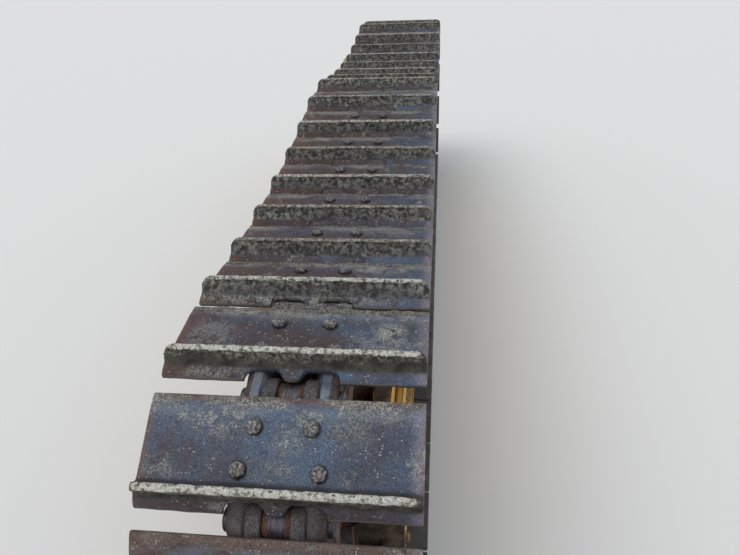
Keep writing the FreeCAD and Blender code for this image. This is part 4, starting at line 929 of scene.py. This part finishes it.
def finish_effect(**results):
    """Gives the node group behind some wires its outputs: a Color, or numbers by other names."""
    group = next(iter(results.values())).tree
    for label in results:
        kind = "NodeSocketColor" if label == "Color" else "NodeSocketFloat"
        group.interface.new_socket(label, in_out="OUTPUT", socket_type=kind)
    fill(group.nodes.new("NodeGroupOutput"), results)


def use(effect, place, **inputs):
    """Outputs of a shared effect at a place."""
    group = bpy.data.node_groups[effect]
    outputs = put(place.tree, "ShaderNodeGroup", {"Place": place, **inputs}, node_tree=group)
    return {output.name: Wire(output) for output in outputs}


def rust(place, redness):
    return use("rust", place, Redness=redness)["Color"]


def patches(place, size, cover, rim):
    return use("patches", place, Size=size, Cover=cover, Rim=rim)["Mask"]


def make_patches():
    """Blots with ragged rims, such as splashes of mud or places rubbed bare."""
    place, size, cover, rim = start_effect("patches", Size=20.0, Cover=0.5, Rim=0.06)
    scale = 1.0 / MM / size
    height = cloud(place, scale, 5.0, 0.62) * 0.8 + cloud(place, scale * 6.0, 3.0, 0.6) * 0.2
    over = height - (0.78 - cover * 0.56)
    finish_effect(Mask=clamped(over / rim), Halo=clamped(over / (rim * 2.2) + 0.75))


def make_rust():
    """Rust that runs from dark purple brown to orange, with its own fine grain."""
    place, redness = start_effect("rust", Redness=0.5)
    broad = cloud(place, 28.0, 6.0, 0.68)
    dark = mixed(step(broad, 0.35, 0.66), (52, 40, 37), (82, 58, 47))
    warm = mixed(step(broad, 0.40, 0.70), (88, 52, 34), (134, 82, 48))
    grains = step(cloud(place, 420.0, 3.0, 0.6), 0.52, 0.72)
    finish_effect(Color=mixed(grains, mixed(redness, dark, warm), (120, 88, 66)))


def make_grit():
    """Fine grains and pits of dust on metal."""
    place, size = start_effect("grit", Size=3.0)
    scale = 1.0 / MM / size
    cells = put(place.tree, "ShaderNodeTexVoronoi", {"Vector": place, "Scale": scale * 0.9})
    chance = Wire(put(place.tree, "ShaderNodeSeparateColor", {0: Wire(cells["Color"])})[0])
    specks = step(Wire(cells["Distance"]), 0.42, 0.16) * step(chance, 0.70, 0.80)
    finish_effect(Grain=cloud(place, scale, 3.0, 0.7), Specks=specks)


def make_edge_wear():
    """Where an edge of a hard part stands out to be rubbed."""
    place, reach, wear = start_effect("edge_wear", Reach=0.003, Wear=0.5)
    rounded = Wire(put(place.tree, "ShaderNodeBevel", {"Radius": reach}, samples=6)[0])
    plain = Wire(put(place.tree, "ShaderNodeNewGeometry")["Normal"])
    away = 1.0 - vector_math("DOT_PRODUCT", rounded, plain, "Value")
    reached = away * 3.2 + (cloud(place, 60.0, 6.0, 0.7) - 0.62)
    finish_effect(Mask=step(reached + wear * 0.25, 0.10, 0.26) * step(away, 0.004, 0.03))


def make_strands():
    """Fibres and smears, as straw and clay leave when they dry."""
    place, size, width = start_effect("strands", Size=12.0, Width=0.05)
    scale = 1.0 / MM / size
    masks = []
    for stretch in ((1.0, 1.5, 1.0), (1.5, 0.8, 1.3)):
        field = cloud(place, scale, 3.0, 0.68, 1.6, stretch)
        masks.append(1.0 - abs(field - 0.5) / width)
    finish_effect(Mask=clamped(most(*masks)))


def make_grouser_face():
    """Dark mud with pale strands that hang from the crest."""
    place, rise, cake = start_effect("grouser_face", Height=0.07, Cake=0.5)
    middle = cloud(place, 50.0, 5.0, 0.7)
    clots = cloud(place, 105.0, 4.0, 0.6, 0.6)
    broad = cloud(place, 20.0, 3.0, 0.5, stretch=(1.0, 0.5, 0.2))
    mask = step(use("strands", place, Size=8.0, Width=0.055)["Mask"], 0.10, 0.60)
    thin = 1.0 - cake
    dark = mixed(step(middle, 0.38, 0.62), (38, 36, 33), (72, 69, 62))
    grey = mixed(step(clots, 0.40, 0.60), (50, 49, 50), (96, 96, 98))
    base = mixed(step(thin, 0.05, 0.30), dark, grey)
    reach = rise + (middle * 0.016 + broad * 0.045 + thin * 0.024)
    share = mask * step(reach, 0.086, 0.106) * step(clots, 0.40, 0.54)
    hue = mixed(step(clots, 0.50, 0.62), (116, 112, 98), (176, 173, 158))
    finish_effect(Color=mixed(share * (0.84 - thin * 0.3), base, hue))


def read(tree, name, output="Fac"):
    """Value that a piece's mesh holds at each point."""
    return Wire(put(tree, "ShaderNodeAttribute", attribute_name=name, attribute_type="GEOMETRY")[output])


def place_on_copy(tree):
    """Place on a repeated piece with each copy's own shift, and the bare place split in three."""
    bare, seed = read(tree, "place", "Vector"), read(tree, "seed")
    shift = Wire(put(tree, "ShaderNodeCombineXYZ", {0: seed * 3.7, 1: seed * 8.1, 2: seed})[0])
    return vector_math("ADD", bare, shift), parts_of(bare)


def place_on_frame(tree):
    """Place in the row frame, for pieces that are not repeated."""
    return Wire(put(tree, "ShaderNodeTexCoord")["Object"])


def facing(tree):
    """Directions that a surface faces, as it rests."""
    return parts_of(Wire(put(tree, "ShaderNodeNewGeometry")["Normal"]))


def shoe_steel(tree):
    """Blue grey worn plate under a film of rust, with splashes of dried mud."""
    where, (s, y, n) = place_on_copy(tree)
    rust_and_shade_share, cake, splashed, stained = (read(tree, name) for name in ("rust", "cake", "splash", "stain"))
    broad = cloud(where, 9.0, 5.0, 0.6)
    middle = cloud(where, 42.0, 6.0, 0.72)
    streaks = cloud(where, 75.0, 5.0, 0.65, stretch=(1.0, 0.25, 1.0))
    grit = use("grit", where, Size=2.1)
    red_rust = rust(where, 0.6)
    grain = step(grit["Grain"], 0.34, 0.66)
    lit = mixed(grain, (50, 60, 77), (84, 99, 120))
    dim = mixed(grain, (45, 46, 55), (73, 77, 90))
    steel = layered(mixed(step(broad, 0.40, 0.66), lit, dim),
                    (step(middle, 0.50, 0.62) * 0.55, mixed(grain, (56, 49, 56), (88, 80, 86))))
    # Film of rust, stronger towards the machine and where a shoe is stained; on the nearest shoes its amount
    # also paints shade
    film = step(rust_and_shade_share * 0.62 - y * 0.9 + middle * 0.8, 0.56, 0.96)
    film = most(film, stained * step(streaks, 0.30, 0.50))
    film_colour = layered(rust(where, 0.1), (0.45, mixed(grain, (32, 29, 33), (68, 63, 68))),
                          (step(y, -0.130, -0.200) * 0.4, red_rust),
                          (step(streaks, 0.54, 0.66) * 0.38, (90, 90, 100)))
    # Rust at the ends and along the rear rim
    end = step(abs(y) + middle * 0.02, 0.200, 0.214)
    rim = most(end, step(s + middle * 0.020, 0.030, 0.017) * step(n, 0.030, 0.041))
    outboard = step(y + middle * 0.012, 0.184, 0.204)
    # Painted highlight: a pale blue band of sky reflection on the bend of the rear rim
    painted_rim_highlight = step(s, 0.016, 0.023) * step(s, 0.038, 0.029) * step(streaks, 0.40, 0.56)
    # Dark ring of painted shade round the foot of each bolt head
    gaps = []
    for row, half in BOLT_ROWS:
        along, across = s - row * MM, abs(y) - half * MM
        gaps.append(calc("SQRT", along * along + across * across))
    bolt_shade_ring = step(calc("MINIMUM", *gaps) + middle * 0.006, 0.0178, 0.0150)
    # Pale splashes
    unstained = 1.0 - stained * 0.75
    rear_splash = step(s, 0.048, 0.014) * step(broad, 0.44, 0.56) * unstained * 0.8
    area = most(patches(where, 60.0, 0.36, 0.07) * unstained, rear_splash,
                splashed * step(cloud(where, 75.0, 3.0, 0.6), 0.40, 0.52))
    fibres = step(use("strands", where, Size=8.5, Width=0.065)["Mask"], 0.32, 0.72)
    spots = use("grit", where, Size=3.8)["Specks"] * step(middle, 0.44, 0.54) * 0.75
    pale = most(area * fibres, spots, area * step(grit["Grain"], 0.55, 0.68) * 0.30)
    # Mud on the grouser, darkened with painted shade on its rear face and foot, and the underside
    face = step(s, 0.1385, 0.1420) * step(n, 0.047, 0.052)
    # Painted shade: the grouser's rear face and foot take a dark tone over their mud
    foot = step(s, 0.119, 0.130) * step(s, 0.1425, 0.138) * step(n, 0.046, 0.051)
    mud = use("grouser_face", where, Height=n, Cake=cake)["Color"]
    clean = (1.0 - cake) * step(middle, 0.46, 0.60)
    coat = most(face * (1.0 - clean * 0.8), foot * 0.8)
    inside = layered(mixed(step(broad, 0.36, 0.64), (70, 66, 68), (104, 99, 98)),
                     (step(middle, 0.50, 0.64) * 0.5, (100, 90, 78)), (grit["Grain"] * 0.5, (54, 48, 46)))
    colour = layered(
        steel, (film * 0.92, film_colour), (rim * 0.75, mixed(grain, red_rust, (92, 78, 74))),
        (outboard * 0.6, mixed(grain, (96, 92, 102), (140, 136, 146))), (painted_rim_highlight * 0.28, (112, 126, 146)),
        (bolt_shade_ring * 0.75, (38, 34, 34)), (pale * 0.9, mixed(grain, (150, 150, 144), (204, 206, 200))),
        (coat, mixed(foot * 0.7, mud, (46, 41, 38))), (step(n, 0.0405, 0.0385) * 0.88, inside))
    shine = (1.0 - most(coat, pale)) * (1.0 - film)
    height = grit["Grain"] * 0.4 + (middle * 0.8 + pale * 0.6)
    return dict(colour=colour, rough=0.72 - shine * 0.28, metal=shine * 0.45, height=height,
                bump=0.0014, strength=0.8, specular=0.28)


def dried_mud(tree):
    """Pale clay with grit along the crests of the grousers, darker down their faces."""
    where, (s, _, n) = place_on_copy(tree)
    cake = read(tree, "cake")
    broad = cloud(where, 60.0, 6.0, 0.7)
    lumps = cloud(where, 130.0, 3.0, 0.55)
    grit = use("grit", where, Size=2.4)
    clots = use("grit", where, Size=6.5)["Specks"]
    grain = step(grit["Grain"], 0.36, 0.66)
    pale = mixed(grain, (160, 158, 148), (218, 218, 211))
    dull = mixed(grain, (78, 75, 68), (140, 137, 127))
    low = step(n + (broad - 0.5) * 0.012, 0.0782, 0.0755)
    # Painted shadow: a dark line along the rear foot of the crest's mud
    behind = step(s, 0.1385, 0.1360) * step(n, 0.0775, 0.0740)
    clay = layered(
        mixed(step(cake + lumps * 0.9, 0.84, 1.30), dull, pale),
        (step(lumps, 0.50, 0.38) * 0.75, mixed(grain, (70, 66, 58), (112, 108, 96))),
        (clots * 0.8, (66, 62, 56)), (grit["Specks"] * 0.5, (222, 224, 220)),
        (low * 0.95, use("grouser_face", where, Height=n, Cake=cake)["Color"]), (behind * 0.7, (50, 45, 41)))
    return dict(colour=clay, rough=0.93, height=broad * 0.8 + (lumps + (grit["Grain"] - clots)),
                bump=0.0020, strength=0.9, specular=0.2)


def bolt_steel(tree):
    """Worn bolt heads with dust on top, and a foot of rust darkened with painted shade."""
    where, (_, _, n) = place_on_copy(tree)
    broad = cloud(where, 110.0, 5.0, 0.7)
    grit = use("grit", where, Size=4.2)["Grain"]
    grain = step(grit, 0.36, 0.66)
    dusty = mixed(grain, (72, 69, 66), (172, 168, 158))
    dark = mixed(grain, (54, 52, 56), (128, 126, 130))
    colour = mixed(step(broad + read(tree, "cake") * 0.4, 0.60, 0.80), dark, dusty)
    # Painted shade: the foot of the head is rust mixed with a dark tone where it meets the face under it
    foot = mixed(0.6, rust(where, 0.2), (38, 35, 35))
    return dict(colour=mixed(step(n, 0.0056, 0.0026), colour, foot), rough=0.8, metal=0.1,
                height=grit + broad, bump=0.0016, strength=0.9)


def link_steel(tree):
    """Forged links, polished blue grey where they rub and brown elsewhere."""
    where, (s, y, n) = place_on_copy(tree)
    broad = cloud(where, 22.0, 6.0, 0.65)
    grit = use("grit", where, Size=2.2)["Grain"]
    grain = step(grit, 0.40, 0.62)
    bright = mixed(step(broad, 0.38, 0.62), (82, 90, 104), (124, 132, 144))
    rail = step(n, -0.0478, -0.0494)
    pin_end = step(s, 0.135, 0.15) * step(n, 0.004, 0.018) * step(abs(y), 0.0612, 0.0592)
    pin_end = pin_end * read(tree, "polish")
    bushing_end = step(s, 0.02, 0.0) * step(n, 0.018, 0.028) * grain
    rubbed = most(rail, most(pin_end * 0.85, bushing_end * 0.4))
    body = layered(mixed(grain, mixed(0.7, rust(where, 0.22), (40, 38, 39)), (84, 79, 78)),
                   (patches(where, 30.0, 0.50, 0.18) * 0.55, mixed(grain, (78, 72, 66), (122, 115, 104))))
    return dict(colour=mixed(rubbed, body, bright), rough=0.82 - rubbed * 0.42, metal=rubbed * 0.6,
                height=grit + broad, bump=0.0012, strength=0.7)


def bushing_steel(tree):
    """Rusty pin ends and bushings, worn to steel in the bushing's middle."""
    where, (_, y, _) = place_on_copy(tree)
    grit = use("grit", where, Size=2.0)
    rings = cloud(where, 60.0, 3.0, 0.5, stretch=(1.0, 9.0, 1.0))
    worn = step(abs(y), 0.016, 0.010)
    steel = mixed(step(rings, 0.4, 0.6), (52, 56, 66), (92, 97, 108))
    colour = layered(rust(where, 0.25), (worn * 0.75, steel), (grit["Specks"] * 0.6, (140, 134, 122)))
    return dict(colour=colour, rough=0.8 - worn * 0.3, metal=worn * 0.5, height=grit["Grain"],
                bump=0.0008, strength=0.6)


def wheel_iron(tree):
    """Rusty casting with treads that the rails keep bright."""
    where = place_on_frame(tree)
    _, turned_across, _ = facing(tree)
    grit = use("grit", where, Size=2.4)
    broad = cloud(where, 14.0, 6.0, 0.65)
    wear = use("edge_wear", where, Reach=0.006, Wear=0.7)["Mask"]
    tread = step(abs(turned_across), 0.30, 0.08)
    bright = mixed(step(broad, 0.38, 0.62), (104, 108, 112), (146, 148, 148))
    body = layered(rust(where, 0.35), (patches(where, 70.0, 0.5, 0.16) * 0.8, (96, 88, 76)),
                   (grit["Specks"] * 0.55, (138, 128, 112)))
    rubbed = most(tread * step(broad, 0.30, 0.48) * 0.75, wear)
    return dict(colour=mixed(rubbed, body, bright), rough=0.85 - rubbed * 0.48, metal=rubbed * 0.75,
                height=grit["Grain"] * 0.7 + broad, bump=0.0016, strength=0.55)


def shaft_steel(tree):
    """Turned steel under patches of rust."""
    where = place_on_frame(tree)
    turning = cloud(where, 40.0, 3.0, 0.5, stretch=(1.0, 22.0, 1.0))
    film = patches(where, 26.0, 0.5, 0.12)
    steel = mixed(step(turning, 0.4, 0.6), (118, 116, 112), (158, 156, 150))
    colour = mixed(film * 0.8, steel, rust(where, 0.3))
    return dict(colour=colour, rough=0.34 + film * 0.4, metal=0.85 - film * 0.75, height=turning,
                bump=0.0004, strength=0.4)


def yellow_paint(tree):
    """Chipped yellow paint over rust, with dust on what faces up and splashed mud below."""
    where = place_on_frame(tree)
    x, y, z = parts_of(where)
    _, _, up = facing(tree)
    grit = use("grit", where, Size=2.4)
    broad = cloud(where, 5.0, 5.0, 0.6)
    fine = cloud(where, 38.0, 6.0, 0.7)
    wear = use("edge_wear", where, Reach=0.008, Wear=1.0)["Mask"]
    chips = use("patches", where, Size=36.0, Cover=0.36, Rim=0.025)
    bare = most(wear, most(chips["Mask"], patches(where, 10.0, 0.24, 0.04)))
    stain = most(chips["Halo"], wear * 0.6) * 0.35
    runs = cloud(where, 46.0, 4.0, 0.6, stretch=(1.0, 1.0, 0.10))
    runs = step(runs, 0.54, 0.68) * step(broad, 0.42, 0.58) * 0.45
    # Mud low down, dust on top, and dark soil with painted shade under the track's upper run and at the
    # fork's ends
    low = step(z + fine * 0.16, 0.52, 0.24)
    splash = patches(where, 55.0, 0.62, 0.20) * (0.12 + low * 0.75)
    covered = step(abs(y - TRACK_Y * MM) + fine * 0.04, 0.165, 0.125)
    front_end = step(x + fine * 0.04, 1.345, 1.385)
    top = step(up, 0.35, 0.85) * (0.38 + covered * 0.56)
    dirt = most(splash, most(top, front_end * step(fine, 0.82, 0.70) * 0.97))
    lumps = step(fine, 0.4, 0.62)
    soil = mixed(lumps, (92, 82, 66), (140, 130, 110))
    # Painted shade as well as soil: the darkest tone, under the upper run and at the fork's ends
    dark_soil_and_shade = mixed(lumps, (50, 43, 39), (96, 84, 78))
    soil = mixed(most(covered * step(z, 0.36, 0.44), front_end), soil, dark_soil_and_shade)
    colour = layered(
        mixed(step(broad, 0.38, 0.62), (206, 156, 28), (228, 176, 30)),
        (step(fine, 0.46, 0.66) * 0.4, (178, 138, 48)), (most(stain, runs), (150, 96, 40)),
        (bare, rust(where, 0.6)), (dirt, soil), (grit["Specks"] * 0.35, (126, 112, 84)))
    height = grit["Grain"] * 0.3 - bare + dirt * 0.5
    return dict(colour=colour, rough=0.46 + most(bare, dirt) * 0.38, height=height,
                bump=0.0009, strength=0.6, specular=0.4)


def settled_dirt(tree):
    """Dry soil with small stones."""
    where = place_on_frame(tree)
    broad = cloud(where, 30.0, 6.0, 0.7)
    grit = use("grit", where, Size=4.0)
    soil = mixed(step(broad, 0.38, 0.62), (74, 64, 52), (122, 110, 92))
    return dict(colour=mixed(grit["Specks"] * 0.8, soil, (158, 152, 140)), rough=0.95,
                height=broad + (grit["Grain"] + grit["Specks"]), bump=0.003, strength=0.9, specular=0.2)


def empty_material(name):
    """Material with nothing but its shader; returns both."""
    material = bpy.data.materials.new(name)
    material.use_nodes = True
    material.node_tree.nodes.clear()
    shader = material.node_tree.nodes.new("ShaderNodeBsdfPrincipled")
    fill(material.node_tree.nodes.new("ShaderNodeOutputMaterial"), {"Surface": Wire(shader.outputs[0])})
    return material, shader


def finish_material(shader, colour, rough, height, bump, strength, metal=0.0, specular=0.3):
    """Sets a shader's colour and surface, with bumps as deep as bump in metres."""
    relief = put(height.tree, "ShaderNodeBump", {"Strength": strength, "Distance": bump, "Height": height})
    fill(shader, {"Base Color": colour, "Roughness": rough, "Metallic": metal,
                  "Specular IOR Level": specular, "Normal": Wire(relief["Normal"])})


def make_finishes():
    """Materials by name; two have longer names than their functions, since the CAD's slots have those."""
    for make in (make_patches, make_rust, make_grit, make_edge_wear, make_strands, make_grouser_face):
        make()
    finishes = {}
    for look in (shoe_steel, dried_mud, bolt_steel, link_steel, bushing_steel, wheel_iron, shaft_steel,
                 yellow_paint, settled_dirt):
        name = look.__name__ + ("_finish" if look in (wheel_iron, shaft_steel) else "")
        finishes[name], shader = empty_material(name)
        finish_material(shader, **look(finishes[name].node_tree))
    return finishes


def dress_frame(finishes):
    """Gives each node of the frame the finish of its material slot."""
    worn = {"frame_paint": "yellow_paint", "wheel_iron": "wheel_iron_finish",
            "shaft_steel": "shaft_steel_finish"}
    for node in frame["nodes"].values():
        for holder in node.material_slots:
            slot = holder.material.name.split(".")[0]
            if slot in worn:
                holder.material = finishes[worn[slot]]


# Stage

def build_floor():
    mesh = bpy.data.meshes.new("floor")
    reach = 40.0
    corners_round = ((-1.0, -1.0), (1.0, -1.0), (1.0, 1.0), (-1.0, 1.0))
    mesh.from_pydata([(reach * x, reach * y, 0.0) for x, y in corners_round], [], [(0, 1, 2, 3)])
    floor = bpy.data.objects.new("floor", mesh)
    bpy.context.scene.collection.objects.link(floor)
    material, shader = empty_material("pale_floor")
    fill(shader, {"Base Color": (0.74, 0.74, 0.73, 1.0), "Roughness": 0.9, "Specular IOR Level": 0.1})
    mesh.materials.append(material)


def light_stage():
    """White surroundings for the camera, a dimmer sky for the light, and a soft sun."""
    world = bpy.data.worlds.new("studio")
    bpy.context.scene.world = world
    world.use_nodes = True
    tree = world.node_tree
    tree.nodes.clear()
    path = put(tree, "ShaderNodeLightPath")
    seen = most(*(Wire(path["Is %s Ray" % kind]) for kind in ("Camera", "Transmission", "Glossy")))
    soft = Wire(put(tree, "ShaderNodeBackground", {"Color": (0.93, 0.96, 1.0, 1.0), "Strength": 0.78})[0])
    plain = Wire(put(tree, "ShaderNodeBackground", {"Color": (1.0, 1.0, 1.0, 1.0), "Strength": 1.0})[0])
    mix = Wire(put(tree, "ShaderNodeMixShader", {0: seen, 1: soft, 2: plain})[0])
    put(tree, "ShaderNodeOutputWorld", {"Surface": mix})
    lamp = bpy.data.lights.new("soft_sun", "SUN")
    lamp.energy = 0.9
    lamp.angle = math.radians(40.0)
    lamp.color = (1.0, 0.98, 0.94)
    sun = bpy.data.objects.new("soft_sun", lamp)
    sun.rotation_euler = (math.radians(24.0), math.radians(18.0), 0.0)
    bpy.context.scene.collection.objects.link(sun)


def place_camera():
    """Camera at the photo's place and angle, from a fit to the shoes."""
    data = bpy.data.cameras.new("camera")
    data.sensor_width = 36.0
    data.lens = 29.77
    data.clip_start, data.clip_end = 0.05, 200.0
    camera = bpy.data.objects.new("camera", data)
    right, up = (-0.10370, 0.99371, -0.04222), (-0.52625, -0.01880, 0.85012)
    back, place = (0.84398, 0.11038, 0.52489), (2.06984, 0.26431, 1.37095)
    camera.matrix_world = Matrix([*zip(right, up, back, place), (0.0, 0.0, 0.0, 1.0)])
    bpy.context.scene.collection.objects.link(camera)
    bpy.context.scene.camera = camera


bpy.context.scene.view_settings.view_transform = "Standard"
place_camera()
light_stage()
build_floor()
finishes = make_finishes()
build_chain(finishes)
build_fasteners(finishes)
build_welds(finishes)
build_dirt(finishes)
dress_frame(finishes)
